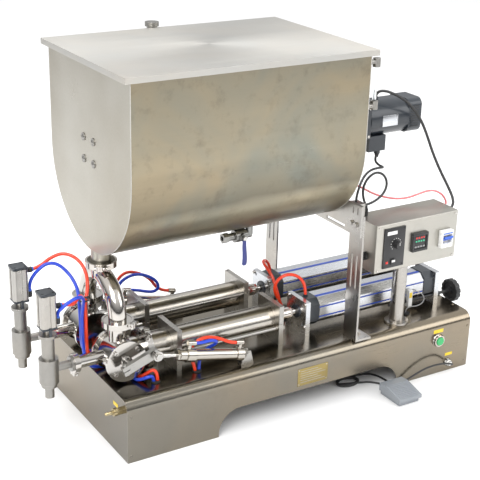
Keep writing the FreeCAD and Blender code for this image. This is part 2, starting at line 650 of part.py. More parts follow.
# ---------------------------------------------------------------- pipe clamps and feed manifold
def pipe_clamp(center, direction, pipe_ferrule, width, bolt_side):
    """Two half rings round a pair of ferrules, with a swing bolt and a wing nut."""
    axis = Vector(*direction)
    middle = Vector(*center)
    start = middle - axis * (width / 2)
    ring = Part.makeCylinder(pipe_ferrule + 5, width, start, axis)
    ring_bore = Part.makeCylinder(pipe_ferrule + 0.05, width, start, axis)
    out = Vector(*bolt_side)
    across = axis.cross(out)
    cut_size = 0.8
    slot = Part.makeBox(2 * (pipe_ferrule + 10), cut_size, 2 * width)
    slot.translate(Vector(-(pipe_ferrule + 10), -cut_size / 2, -width))
    slot.Placement = FreeCAD.Placement(middle, FreeCAD.Rotation(out, across, axis, "XYZ")).multiply(slot.Placement)
    ears = []
    for side in (-1, 1):
        ear_start = middle + out * (pipe_ferrule + 9) + across * (side * 3) - axis * (width / 2 - 1)
        ear = Part.makeCylinder(5, width - 2, ear_start, axis)
        bridge = Part.makeCylinder(4.5, width - 2, middle + out * (pipe_ferrule + 4) + across * (side * 5)
                                   - axis * (width / 2 - 1), axis)
        ears += [ear, bridge]
    ring = join(ring, *ears).cut(slot).cut(ring_bore)
    bolt_start = middle + out * (pipe_ferrule + 9) - across * 12
    bolt = Part.makeCylinder(2.5, 34, bolt_start, across)
    nut = Part.makeCylinder(5.5, 8, bolt_start + across * 21, across)
    wings = []
    for side in (-1, 1):
        tip = bolt_start + across * 24 + out * (side * 4)
        wing_direction = (out * side + across * 1.6).normalize()
        wings.append(Part.makeCone(3.5, 2.0, 12, tip, wing_direction))
    wing_nut = join(bolt, nut, *wings)
    return [ring.cut(wing_nut), wing_nut]


hopper_ferrule_z = 405.0
clamps = []
clamps += both(pipe_clamp((valve_x, line_y, inlet_top), (0, 0, 1), 32, 14, (0.5, -0.866, 0)))
clamps += both(pipe_clamp((outlet_end, line_y, outlet_z), (1, 0, 0), 17.5, 13, (0, 0, -1)))
clamps += both(pipe_clamp((tube_start, line_y, axis_z), (1, 0, 0), ferrule_radius, 2 * ferrule_width - 0.6, (0, -0.35, 0.937)))
clamps += pipe_clamp((neck_x, 0, hopper_ferrule_z), (0, 0, 1), 32, 14, (-0.5, -0.866, 0))
write("pipe_clamps", clamps)

manifold_low = inlet_top
arch_circle = line_offset
arch_wire = Part.Wire([Part.Arc(Vector(neck_x, -arch_circle, manifold_low + 6),
                                Vector(neck_x, 0, manifold_low + 6 + arch_circle),
                                Vector(neck_x, arch_circle, manifold_low + 6)).toShape()])


def swept_circle(radius):
    ring = Part.Wire([Part.makeCircle(radius, Vector(neck_x, -arch_circle, manifold_low + 6), z_axis)])
    return arch_wire.makePipeShell([ring], True, False)


stem_pipe = rod((neck_x, 0, manifold_low + arch_circle), (0, 0, 1), neck_radius, hopper_ferrule_z - manifold_low - arch_circle)
outer = join(swept_circle(inlet_radius), stem_pipe, rod((neck_x, 0, hopper_ferrule_z - 6), (0, 0, 1), 32, 6))
inner = join(swept_circle(inlet_radius - pipe_wall),
             rod((neck_x, 0, manifold_low + arch_circle), (0, 0, 1), neck_radius - pipe_wall, 60))
manifold = outer.cut(inner)
for side in (-1, 1):
    ferrule = pipe((neck_x, side * line_offset, manifold_low), (0, 0, 1), 32, inlet_radius - pipe_wall, 6)
    manifold = join(manifold, ferrule)
write("feed_manifold", [manifold])

# ---------------------------------------------------------------- hopper
inner_radius = hopper_radius - hopper_wall - jacket_gap - hopper_wall
outer_skin = trough_section(hopper_radius, hopper_left, hopper_right, hopper_top)
jacket_space = trough_section(hopper_radius - hopper_wall, hopper_left + hopper_end, hopper_right - hopper_end,
                              hopper_top - hopper_wall)
jacket_space = jacket_space.cut(trough_section(inner_radius + hopper_wall, hopper_left, hopper_right, hopper_top + 5))
trough_space = trough_section(inner_radius, hopper_left + hopper_end, hopper_right - hopper_end, hopper_top + 5)
neck_top = hopper_axis_z - inner_radius + 4
neck_pipe = rod((neck_x, 0, hopper_ferrule_z), (0, 0, 1), neck_radius, neck_top - hopper_ferrule_z)
neck_ferrule = rod((neck_x, 0, hopper_ferrule_z), (0, 0, 1), 32, 6)
hopper = join(outer_skin.cut(jacket_space), neck_pipe, neck_ferrule).cut(trough_space)
hopper = hopper.cut(rod((neck_x, 0, hopper_ferrule_z - 1), (0, 0, 1), neck_radius - pipe_wall,
                        neck_top - hopper_ferrule_z + 1))
hopper = hopper.cut(rod((hopper_right - 5, 0, shaft_z), (1, 0, 0), agitator_shaft_radius + 2, 6))
write("hopper", [hopper])

lid_x0 = hopper_left - lid_overhang
lid_x1 = hopper_right + lid_overhang
lid_half = hopper_radius + 9
lid_low = hopper_top + slip
lid = block(lid_x0, lid_x1, -lid_half, lid_half, lid_low - lid_skirt, lid_low + lid_sheet)
lid = lid.cut(block(lid_x0 + lid_sheet, lid_x1 - lid_sheet, -lid_half + lid_sheet, lid_half - lid_sheet,
                    lid_low - lid_skirt - 1, lid_low))
write("hopper_lid", [lid])

# ---------------------------------------------------------------- agitator and its bearings
bearing_width = 14.0
bearings = []
for x_wall, outward in ((hopper_left, -1), (hopper_right, 1)):
    bearing = rod((x_wall, 0, shaft_z), (outward, 0, 0), 20, bearing_width)
    inner_block = block(x_wall - outward * hopper_end, x_wall - outward * (hopper_end + bearing_width),
                        -36, 36, shaft_z - 36, shaft_z + 36)
    inner_block = inner_block.cut(rod((x_wall - outward * 30, 0, shaft_z), (outward, 0, 0),
                                      agitator_shaft_radius + running_fit, 60))
    if outward > 0:
        bearing = bearing.cut(rod((x_wall - 5, 0, shaft_z), (1, 0, 0), agitator_shaft_radius + running_fit, 60))
        bearings.append(bearing)
    bearings.append(inner_block)
    for dy in (-25, 25):
        for dz in (-25, 25):
            washer = rod((x_wall, dy, shaft_z + dz), (outward, 0, 0), 9, 2)
            screw_head = button_head((x_wall + outward * 2, dy, shaft_z + dz), (outward, 0, 0), 5.5)
            bearings.append(join(washer, screw_head))

shaft_left = hopper_left + hopper_end + 2
coupling_end = hopper_right + 58
agitator = rod((shaft_left, 0, shaft_z), (1, 0, 0), agitator_shaft_radius, coupling_end - shaft_left)
paddle_count = 6
paddle_first = hopper_left + 70
paddle_pitch = (hopper_right - hopper_left - 140) / (paddle_count - 1)
for i in range(paddle_count):
    x = paddle_first + i * paddle_pitch
    angle = 60 * i
    arm = rod((x, 0, shaft_z - paddle_reach + 8), (0, 0, 1), 6, 2 * paddle_reach - 16)
    blade_low = block(x - 32, x + 32, -3, 3, shaft_z - paddle_reach, shaft_z - paddle_reach + 24)
    blade_high = block(x - 32, x + 32, -3, 3, shaft_z + paddle_reach - 24, shaft_z + paddle_reach)
    agitator = join(agitator, turned(join(arm, blade_low, blade_high), angle, (x, 0, shaft_z), (1, 0, 0)))
write("agitator", [agitator])

# ---------------------------------------------------------------- gear motor
lantern_end = hopper_right + 72
gearbox_end = hopper_right + 140
motor_end = left + 877
fan_end = left + 918
lantern = block(hopper_right + bearing_width, lantern_end, -45, 45, motor_z - 45, motor_z + 45)
lantern = lantern.cut(rod((hopper_right, 0, shaft_z), (1, 0, 0), 24, lantern_end - hopper_right - 8))
lantern_base = block(hopper_right, hopper_right + bearing_width, -45, 45, motor_z - 45, motor_z + 45)
lantern_base = lantern_base.cut(block(hopper_right - 1, hopper_right + 20, -36, 36, shaft_z - 36, shaft_z + 36))
lantern = join(lantern, lantern_base)
gearbox = block(lantern_end, gearbox_end, -45, 45, motor_z - 45, motor_z + 45)
gearbox_edges = [e for e in gearbox.Edges if abs(e.tangentAt(e.FirstParameter).x) > 0.9]
gearbox = gearbox.makeFillet(6, gearbox_edges)
motor = rod((gearbox_end, 0, motor_z), (1, 0, 0), motor_radius, motor_end - gearbox_end)
fan_cover = block(motor_end, fan_end, -43, 43, motor_z - 44, motor_z + 44)
cover_edges = [e for e in fan_cover.Edges if abs(e.tangentAt(e.FirstParameter).x) > 0.9]
fan_cover = fan_cover.makeFillet(19, cover_edges)
terminal_x0 = left + 762
terminal_box = block(terminal_x0, terminal_x0 + 52, -36, 36, motor_z - motor_radius - 34, motor_z - motor_radius + 6)
terminal_box = terminal_box.cut(rod((gearbox_end, 0, motor_z), (1, 0, 0), motor_radius, 200))
motor_gland = (left + 790, -14.0, motor_z + motor_radius + 8)
gland_top = rod((motor_gland[0], motor_gland[1], motor_z + motor_radius - 6), (0, 0, 1), 6.5, 14)
gland_top = gland_top.cut(rod((gearbox_end, 0, motor_z), (1, 0, 0), motor_radius, 200))
terminal_gland = (left + 800, -22.0, motor_z - motor_radius - 44)
gland_low = rod((terminal_gland[0], terminal_gland[1], terminal_gland[2]), (0, 0, 1), 8, 10)
write("gear_motor", [lantern, gearbox, motor, fan_cover, terminal_box, gland_top, gland_low])

# ---------------------------------------------------------------- jacket fittings: sight gauge, drain, filler
gauge_x = left + 645
gauge_y = front + 20
gauge_low = 739.0
gauge_high = 858.0
glass_radius = 4.5
fittings = []
for z, up in ((gauge_low, 1), (gauge_high, -1)):
    cock = join(rod((hopper_right, gauge_y, z + up * 8), (1, 0, 0), 6, gauge_x - hopper_right),
                rod((gauge_x, gauge_y, z), (0, 0, up), 9, 20),
                hexagon((hopper_right, gauge_y, z + up * 8), (1, 0, 0), 17, 7))
    fittings.append(cock)
glass = rod((gauge_x, gauge_y, gauge_low + 20), (0, 0, 1), glass_radius, gauge_high - gauge_low - 40)
write("sight_glass", [glass])

drain_x = left + 372
drain_y = -62.0
drain_z = 432.0
drain_top = hopper_axis_z - math.sqrt(hopper_radius ** 2 - drain_y ** 2)
drop = rod((drain_x + 26, drain_y, drain_z), (0, 0, 1), 9, drain_top - drain_z + 4)
drop = drop.cut(trough_section(hopper_radius, hopper_left, hopper_right, hopper_top))
run = rod((drain_x + 30, drain_y, drain_z), (-1, 0, 0), 9, 78)
ball_body = rod((drain_x + 14, drain_y, drain_z), (-1, 0, 0), 15, 30)
bonnet = rod((drain_x, drain_y, drain_z), (0, -1, 0), 9, 20)
spout = hexagon((drain_x - 34, drain_y, drain_z), (-1, 0, 0), 22, 14)
drain = join(drop, run, ball_body, bonnet, spout).cut(rod((drain_x - 60, drain_y, drain_z), (1, 0, 0), 6, 30))
filler_x = left + 293
filler_y = -front + 22
filler = join(rod((filler_x, hopper_radius, 836), (0, 1, 0), 11, filler_y - hopper_radius),
              rod((filler_x, filler_y, 822), (0, 0, 1), 12.5, 61),
              rod((filler_x, filler_y, 883), (0, 0, 1), 17, 10))
write("hopper_fittings", bearings + fittings + [drain, filler])

handle_y = drain_y - 20
handle_plate = join(block(drain_x - 8, drain_x + 8, handle_y - 2.5 - slip, handle_y - slip, drain_z - 70, drain_z + 8),
                    hexagon((drain_x, handle_y - 2.5 - slip, drain_z), (0, -1, 0), 11, 5))
write("drain_handle", [handle_plate])

# ---------------------------------------------------------------- gantry
web = 5.0
web_x = left + 625
post_y0 = front + 3
post_y1 = front + 55
gantry_top = 482.0
upright_plate = block(web_x, web_x + web, post_y0, post_y1, deck, gantry_top)
for y in (front + 20, front + 39):
    slot = block(web_x - 1, web_x + web + 1, y - 2.5, y + 2.5, 290, 378)
    upright_plate = upright_plate.cut(slot)
foot_plate = block(web_x, web_x + 47, post_y0, post_y1, deck, deck + web)
post_plate = join(upright_plate, foot_plate)
post_bolts = [hexagon((web_x + 30, y, deck + web), (0, 0, 1), 12, 6) for y in (front + 34, front + 47)]

yoke_x = hopper_right
yoke_z0 = 430.0
yoke_z1 = 508.0
yoke_half = -front - 4
yoke = block(yoke_x, web_x, -yoke_half, yoke_half, yoke_z0, yoke_z1)
yoke = yoke.cut(block(yoke_x + 4, web_x + 1, -(-post_y1) + 1, (-post_y1) - 1, yoke_z0 - 1, yoke_z1 + 1))
for side in (-1, 1):
    for y in (front + 18, front + 36):
        yoke = yoke.cut(block(yoke_x - 1, web_x + 1, side * y - 2.5, side * y + 2.5, 484, 502))
    yoke = yoke.cut(block(yoke_x - 1, web_x + 1, side * 70, side * 146, 437, 444))
    for y in (front + 22, front + 40):
        post_bolts.append(hexagon((yoke_x, side * y, 458), (-1, 0, 0), 11, 5))
        post_bolts.append(hexagon((web_x + web, side * y, 458), (1, 0, 0), 11, 5))
post_bolts += [mirrored(bolt) for bolt in post_bolts[:2]]

clip_x0 = web_x + web
clip = block(clip_x0, clip_x0 + 26, front + 40, front + 72, 468, 500)
clip = join(clip, block(web_x, clip_x0 + 26, front + 40, front + 72, 484, 500))

# ---------------------------------------------------------------- control box
box_front = front
box_back = front + box_depth
shell = block(box_left, box_right, box_front, box_back, box_bottom, box_top)
shell_edges = [e for e in shell.Edges if abs(e.CenterOfMass.y - box_front) < 0.01]
shell = shell.makeFillet(3, shell_edges)
shell = shell.cut(block(box_left + box_sheet, box_right - box_sheet, box_front + box_sheet, box_back - box_sheet,
                        box_bottom + box_sheet, box_top - box_sheet))
speed_x0 = left + 688
speed_x1 = left + 752
speed_z0 = 338.0
speed_z1 = 441.0
temp_x = left + 798
temp_z = 391.0
breaker_x = left + 880
breaker_z = 386.0
knob_x = left + 724
knob_z = 398.0
shell = shell.cut(block(temp_x - 22.5, temp_x + 22.5, box_front - 1, box_front + 3, temp_z - 22.5, temp_z + 22.5))
shell = shell.cut(block(breaker_x - 18, breaker_x + 18, box_front - 1, box_front + 3, breaker_z - 23, breaker_z + 23))
shell = shell.cut(rod((knob_x, box_front - 1, knob_z), (0, 1, 0), 5, 5))
write("control_box", [shell])

speed_panel = block(speed_x0, speed_x1, box_front - 3, box_front, speed_z0, speed_z1)
speed_panel = speed_panel.cut(rod((knob_x, box_front - 4, knob_z), (0, 1, 0), 5, 5))
speed_unit = block(speed_x0 + 6, speed_x1 - 6, box_front + box_sheet, box_front + 55, speed_z0 + 6, speed_z1 - 6)
speed_unit = speed_unit.cut(rod((knob_x, box_front, knob_z), (0, 1, 0), 3 + running_fit, 14))
temp_unit = join(block(temp_x - 24, temp_x + 24, box_front - 8, box_front, temp_z - 24, temp_z + 24),
                 block(temp_x - 22.5, temp_x + 22.5, box_front, box_front + 60, temp_z - 22.5, temp_z + 22.5))

breaker = join(block(breaker_x - 18, breaker_x + 18, box_front - 14, box_front + 45, breaker_z - 22.5, breaker_z + 22.5),
               block(breaker_x - 18, breaker_x + 18, box_front + 2, box_front + 40, breaker_z - 38, breaker_z + 38))
breaker = breaker.cut(block(breaker_x - 14, breaker_x + 14, box_front - 15, box_front - 4, breaker_z - 11, breaker_z + 11))
write("panel_instruments", [speed_panel, speed_unit, temp_unit, breaker])
toggle_y = box_front - 9
toggle = join(rod((breaker_x - 13.6, toggle_y, breaker_z), (1, 0, 0), 4.5, 27.2),
              block(breaker_x - 13, breaker_x + 13, toggle_y - 12, toggle_y, breaker_z - 1, breaker_z + 4))
write("breaker_toggle", [turned(toggle, -25, (0, toggle_y, breaker_z), (1, 0, 0))])

knob = join(rod((knob_x, box_front - 3 - slip, knob_z), (0, -1, 0), 9, 15),
            rod((knob_x, box_front - 5, knob_z), (0, 1, 0), 3, 16))
write("speed_knob", [knob])

box_post = rod((post_x, post_y, deck), (0, 0, 1), post_radius, box_bottom - deck)
flange = rod((post_x, post_y, deck), (0, 0, 1), 31, 5)
post = join(box_post, flange)
post_screws = []
for i in range(3):
    angle = math.radians(90 + 120 * i)
    post_screws.append(hexagon((post_x + 25 * math.cos(angle), post_y + 25 * math.sin(angle), deck + 5), (0, 0, 1), 8, 5))
write("gantry", both([post_plate]) + [yoke, clip, post] + post_bolts + post_screws)

lead_gland = (box_left + 22, box_back - 16, box_top)
motor_box_gland = (box_right, box_front + 50, box_top - 16)
wire_box_gland = (box_right, box_front + 72, box_top - 16)
box_gland_length = 14.0
heater_gland = (hopper_right, -112.0, 536.0)
glands = [rod(lead_gland, (0, 0, 1), 7, box_gland_length)]
glands += [rod(place, (1, 0, 0), 7, box_gland_length) for place in (motor_box_gland, wire_box_gland)]
glands.append(join(hexagon(heater_gland, (1, 0, 0), 20, 8), rod(heater_gland, (1, 0, 0), 7, 15)))
glands.append(join(hexagon((box_left, front + 40, 363), (-1, 0, 0), 20, 5),
                   rod((box_left, front + 40, 363), (-1, 0, 0), 7, 11)))
write("panel_fittings", glands + [join(bezel, button_tail), contact_block, gland])

# ---------------------------------------------------------------- foot pedal
pedal_x0 = left + 696
pedal_x1 = left + 766
pedal_y0 = front - 98
pedal_y1 = front - 17
pedal_base = block(pedal_x0 + 4.6, pedal_x1 - 4.6, pedal_y0 + 6, pedal_y1, 0, 9)
hinge_y = pedal_y1 - 8
hinge_z = 17.0
ears = [block(x, x + 5, pedal_y1 - 16, pedal_y1, 9, 23) for x in (pedal_x0 + 8, pedal_x1 - 13)]
hinge_pin = rod((pedal_x0, hinge_y, hinge_z), (1, 0, 0), 2, pedal_x1 - pedal_x0)
switch_body = block(pedal_x0 + 20, pedal_x1 - 20, pedal_y1 - 40, pedal_y1 - 16, 9, 17)
cable_entry = rod((left + 740, pedal_y1, 5), (0, 1, 0), 4, 5)
write("pedal_base", [join(pedal_base, *ears, hinge_pin, switch_body, cable_entry)])
treadle_profile = [Vector(pedal_x0, pedal_y0, 11), Vector(pedal_x0, pedal_y1 + 1, 11),
                   Vector(pedal_x0, pedal_y1 + 1, 31), Vector(pedal_x0, pedal_y1 - 24, 33),
                   Vector(pedal_x0, pedal_y0, 20), Vector(pedal_x0, pedal_y0, 11)]
treadle = Part.Face(Part.makePolygon(treadle_profile)).extrude(Vector(pedal_x1 - pedal_x0, 0, 0))
pocket_profile = [Vector(pedal_x0 + 4, pedal_y0 + 4, 5), Vector(pedal_x0 + 4, pedal_y1 + 6, 5),
                  Vector(pedal_x0 + 4, pedal_y1 + 6, 27.5), Vector(pedal_x0 + 4, pedal_y1 - 24, 29.5),
                  Vector(pedal_x0 + 4, pedal_y0 + 4, 17), Vector(pedal_x0 + 4, pedal_y0 + 4, 5)]
pocket = Part.Face(Part.makePolygon(pocket_profile)).extrude(Vector(pedal_x1 - pedal_x0 - 8, 0, 0))
treadle = treadle.cut(pocket).cut(rod((pedal_x0 - 1, hinge_y, hinge_z), (1, 0, 0), 2 + running_fit, 80))
write("pedal_treadle", [treadle])


# ---------------------------------------------------------------- hoses and cables
def route_tube(name, points, radius):
    """Tube along straight runs joined by tangent arcs; each arc is as large as its runs allow."""
    corners = [Vector(*p) for p in points]
    edges = []
    radii = []
    length = 0.0
    start = corners[0]
    for before, corner, after in zip(corners, corners[1:], corners[2:]):
        coming = (corner - before).normalize()
        going = (after - corner).normalize()
        turn = coming.getAngle(going)
        shorter = min((corner - before).Length, (after - corner).Length)
        arc_radius = 0.45 * shorter / math.tan(turn / 2)
        setback = 0.45 * shorter
        tangent_in = corner - coming * setback
        tangent_out = corner + going * setback
        toward = (going - coming).normalize()
        centre = corner + toward * (arc_radius / math.cos(turn / 2))
        middle = centre - toward * arc_radius
        edges.append(Part.LineSegment(start, tangent_in).toShape())
        edges.append(Part.Arc(tangent_in, middle, tangent_out).toShape())
        length += (tangent_in - start).Length + arc_radius * turn
        radii.append(arc_radius)
        start = tangent_out
    edges.append(Part.LineSegment(start, corners[-1]).toShape())
    length += (corners[-1] - start).Length
    path = Part.Wire(edges)
    profile = Part.Wire([Part.makeCircle(radius, corners[0], corners[1] - corners[0])])
    tube = path.makePipeShell([profile], True, False)
    print("  cord", name, "length", round(length), "smallest bend", round(min(radii)),
          "volume ratio", round(tube.Volume / (math.pi * radius ** 2 * length), 4))
    return tube


def grommet_hole(name, index, height=0.0):
    """Centre of one hose of a pair, at the given height over the top of its grommet."""
    x, y = grommets[name]
    shift = hose_pitch if index else -hose_pitch
    return (x + shift, y, deck + grommet_lip + height)


def elbow_outlet(side, index, reach):
    """Point on the centre line of a small cylinder's elbow, reach beyond its outlet."""
    distance, outward = elbow_places[index]
    angle = math.radians(tilt)
    back = distance - outward * (14 + reach)
    x = pivot_x - back * math.cos(angle) + elbow_rise * math.sin(angle)
    z = pivot_z + back * math.sin(angle) + elbow_rise * math.cos(angle)
    return (x, side * turn_line, z)


upper_x = nozzle_x + 36
lower_x = nozzle_x + 25
lower_top = actuator_low + 24
loop_x = flange_start + flange_plate + 12
loop_z = axis_z + half + 4

hoses = {
    "nozzle_hose_front_red": [
        (upper_x, line_y, upper_fitting["front"]), (-575, -81, 356), (-558, -70, 350), (-542, -54, 354),
        (-527, -38, 352), (-516, -29, 334), (-513, -30, 304), (-514, -31, 262), (-513, -30, 222), (-511, -29, 190),
        (-502, -26, 170), (-480, -24, 160), (-452, -25, 158), (-434, -34, 157.5), (-428, -54, 157.5),
        (-428, -82, 157.7), (-428, -108, 158), (-424, -127, 161), (-413, -137, 172), (-402, -145, 183), (-394, -150, 174),
        grommet_hole("nozzle_front", 1)],
    "nozzle_hose_front_blue": [
        (lower_x, line_y, lower_top), (-603, -84, 346), (-599, -94, 357), (-584, -97, 369), (-562, -92, 374),
        (-542, -76, 366), (-529, -56, 348), (-524, -40, 326), (-523, -31, 300), (-523, -30, 264), (-523, -32, 222),
        (-520, -35, 186), (-507, -35, 166), (-480, -33.5, 158.5), (-456, -34, 157.5), (-442, -42, 157.5),
        (-438, -62, 157.5), (-438.5, -88, 157.7), (-438, -112, 157.5), (-437, -132, 158), (-426, -145, 165), (-415, -152, 171), (-405, -151, 168),
        grommet_hole("nozzle_front", 0)],
    "nozzle_hose_rear_red": [
        (upper_x, -line_y, upper_fitting["rear"]), (-574, 81, 388), (-552, 76, 406), (-524, 64, 418), (-498, 44, 406),
        (-487, 22, 380), (-494, -2, 354), (-506, -15, 326), (-512, -19, 292), (-512, -19, 252),
        (-511, -18, 214), (-500, -12, 186), (-478, -5, 173), (-454, -2, 178), (-443, 0, 172),
        grommet_hole("nozzle_rear", 0)],
    "nozzle_hose_rear_blue": [
        (lower_x, -line_y, lower_top), (-602, 81, 352), (-597, 75, 368), (-585, 69, 385), (-566, 65, 399),
        (-542, 58, 397), (-521, 42, 374), (-514, 18, 352), (-518, -4, 334), (-522, -16, 308), (-522, -19, 272),
        (-521, -17, 236), (-514, -5, 204), (-496, 8, 184), (-470, 12, 176), (-445, 8, 184),
        (-433, 1, 176), grommet_hole("nozzle_rear", 1)],
    "turn_hose_front_red": [
        elbow_outlet(-1, 0, 0), elbow_outlet(-1, 0, 16), (-234, -158, 227), (-258, -151, 234), (-284, -147, 232),
        (-303, -144, 214), (-308, -144, 192), (-298, -149, 175), grommet_hole("turn_front", 0)],
    "turn_hose_front_blue": [
        elbow_outlet(-1, 1, 0), elbow_outlet(-1, 1, 16), (-268, -172, 237), (-250, -170, 230), (-247, -161, 218),
        (-257, -150, 207), (-270, -143, 195), (-282, -145, 178), grommet_hole("turn_front", 1)],
    "turn_hose_rear_red": [
        elbow_outlet(1, 0, 0), elbow_outlet(1, 0, 18), (-235, 169, 234), (-246, 166, 252), (-264, 164, 269),
        (-288, 163, 283), (-312, 162, 291), (-334, 159, 287), (-352, 154, 270), (-361, 150, 244),
        (-361, 149, 216), (-353, 150, 192), (-335, 154, 177), (-312, 158, 173), (-294, 159, 176),
        (-285, 151, 172), grommet_hole("turn_rear", 1)],
    "turn_hose_rear_blue": [
        elbow_outlet(1, 1, 0), elbow_outlet(1, 1, 20), (-262, 168, 224), (-243, 160, 222), (-232, 152, 234),
        (-240, 149, 256), (-262, 150, 273), (-289, 149, 285), (-316, 148, 286), (-341, 145, 277),
        (-358, 140, 258), (-365, 137, 232), (-361, 136, 206), (-350, 137, 186), (-332, 140, 177),
        (-311, 144, 176), (-296, 149, 174), grommet_hole("turn_rear", 0)],
    "cylinder_hose_front": [
        (loop_x, line_y, loop_z), (56, -82, 266), (47, -80, 288), (28, -75, 304), (4, -67, 306), (-13, -57, 290),
        (-16, -50, 266), (-5, -43, 244), (8, -38, 226), (19, -32, 206), (28, -22, 186), (33, -14, 170),
        grommet_hole("cylinder_loops", 0)],
    "cylinder_hose_rear": [
        (loop_x, -line_y, loop_z), (55, 82, 264), (46, 81, 279), (33, 76, 286), (22, 62, 287), (22, 42, 278),
        (27, 22, 260), (29, 6, 232), (34, -3, 202), (42, -10, 178), grommet_hole("cylinder_loops", 1)],
}
for name, points in hoses.items():
    write(name, [route_tube(name, points, hose_radius)])

clip_top = (web_x + 18, front + 60, 500.0)
gland_reach = box_gland_length
cables = {
    "motor_cable": (3.5, [
        (motor_gland[0], motor_gland[1], motor_gland[2]), (293, -16, 724), (309, -27, 727), (328, -46, 719),
        (350, -62, 704), (374, -67, 680), (398, -68, 650), (416, -72, 614), (426, -88, 570), (438, -108, 526),
        (450, -132, 486), (454, -152, 458), (447, -161, 441),
        (box_right + gland_reach, motor_box_gland[1], motor_box_gland[2])]),
    "terminal_lead": (3.0, [
        (terminal_gland[0], terminal_gland[1], terminal_gland[2]), (290, -26, 548), (289, -48, 541),
        (280, -76, 546), (262, -96, 553), (238, -106, 558), (212, -113, 559), (188, -121, 551), (167, -134, 538),
        (150, -147, 522), (143, -152, 510), clip_top]),
    "box_lead": (3.0, [
        (web_x + web + 26, front + 56, 488), (176, -156, 489), (206, -153, 495), (233, -147, 509),
        (244, -141, 530), (236, -135, 551), (214, -131, 559), (191, -130, 547), (178, -130, 524),
        (179, -132, 498), (187, -133, 481), (lead_gland[0], lead_gland[1], box_top + gland_reach)]),
    "heater_wires": (2.5, [
        (hopper_right + 15, heater_gland[1], heater_gland[2]), (150, -112, 534), (176, -111, 524),
        (204, -109, 508), (232, -108, 492), (264, -108, 479), (298, -112, 470), (332, -116, 468),
        (362, -121, 475), (388, -124, 481), (412, -127, 479), (432, -132, 468), (443, -137, 451),
        (443, -139, 440), (box_right + gland_reach, wire_box_gland[1], wire_box_gland[2])]),
    "sensor_wire": (1.5, [
        (sensor_x + 12 + slip, screw_y - 6, 204), (381, screw_y - 6, 204), (396, -128, 198), (404, -134, 184),
        (396, -136, 171), (378, -136, 167), (358, -136, 170), (343, -134, 167),
        (left + 842, -134, deck + grommet_lip)]),
}
for name, (radius, points) in cables.items():
    write(name, [route_tube(name, points, radius)])

pedal_cable_radius = 2.5
coil_x = left + 659
coil_y = front + 68
coil_height = 9.0
coil_z = pedal_cable_radius + slip
from_gland = route_tube("pedal_cable, gland to coil", [
    (gland_x, front - 12, gland_z), (432, -237, 27), (417, -241, 36), (394, -239, 41), (366, -235, 41),
    (338, -231, 36), (310, -228, 25), (286, -224, 13), (266, -219, 5), (253, -206, 3.2), (252, -180, coil_z),
    (249, -154, coil_z), (236, -134, coil_z), (214, -126, coil_z), (178, -124.5, coil_z)], pedal_cable_radius)
to_pedal = route_tube("pedal_cable, coil to pedal", [
    (178, -162.5, coil_z), (204, -166, coil_z), (222, -182, coil_z), (234, -201, 3.2), (240, -216, 4.5),
    (240, pedal_y1 + 5, 5)], pedal_cable_radius)
write("pedal_cable", [from_gland, to_pedal])


def coil_outline(shrink):
    """Rounded oval of the coiled cable, drawn in by shrink."""
    half_x = 36.0 - shrink
    half_y = 24.0 - shrink
    straight = half_x - half_y
    low_right = Vector(coil_x + straight, coil_y - half_y, slip)
    high_right = Vector(coil_x + straight, coil_y + half_y, slip)
    high_left = Vector(coil_x - straight, coil_y + half_y, slip)
    low_left = Vector(coil_x - straight, coil_y - half_y, slip)
    edges = [Part.Arc(low_right, Vector(coil_x + half_x, coil_y, slip), high_right).toShape(),
             Part.LineSegment(high_right, high_left).toShape(),
             Part.Arc(high_left, Vector(coil_x - half_x, coil_y, slip), low_left).toShape(),
             Part.LineSegment(low_left, low_right).toShape()]
    return Part.Face(Part.Wire(edges)).extrude(Vector(0, 0, coil_height))


write("pedal_cable_coil", [coil_outline(0).cut(coil_outline(11))])
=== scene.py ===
import math
import bpy
import bmesh
from mathutils import Matrix, Vector


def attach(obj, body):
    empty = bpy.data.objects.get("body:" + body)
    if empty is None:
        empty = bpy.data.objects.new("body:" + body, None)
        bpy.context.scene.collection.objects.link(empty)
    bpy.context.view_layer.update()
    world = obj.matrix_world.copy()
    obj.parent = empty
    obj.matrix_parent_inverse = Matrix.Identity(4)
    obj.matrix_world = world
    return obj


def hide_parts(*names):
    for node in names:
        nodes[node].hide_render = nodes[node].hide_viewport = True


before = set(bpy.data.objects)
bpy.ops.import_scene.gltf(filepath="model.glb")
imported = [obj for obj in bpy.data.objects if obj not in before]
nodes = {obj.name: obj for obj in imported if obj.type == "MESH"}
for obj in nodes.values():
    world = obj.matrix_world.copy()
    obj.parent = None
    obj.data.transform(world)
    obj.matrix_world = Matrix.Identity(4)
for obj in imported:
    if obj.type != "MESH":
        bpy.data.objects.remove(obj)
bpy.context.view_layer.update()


baseCentre = {"x": 65.5, "y": 29.5}    # its place in the frame, in millimetres
metre = 0.001                          # one millimetre, in metres


def mm(x, y, z):
    return ((x + baseCentre["x"]) * metre, (y + baseCentre["y"]) * metre, z * metre)


# camera: place in metres, turn in radians
viewpoint = {"place": (-1.39844, -2.18741, 1.41651), "yaw": 0.555455, "pitch": 0.374524, "roll": 0.02589,
             "lens": 86.064,
             "sensor": 36, "near": 0.05, "far": 40}


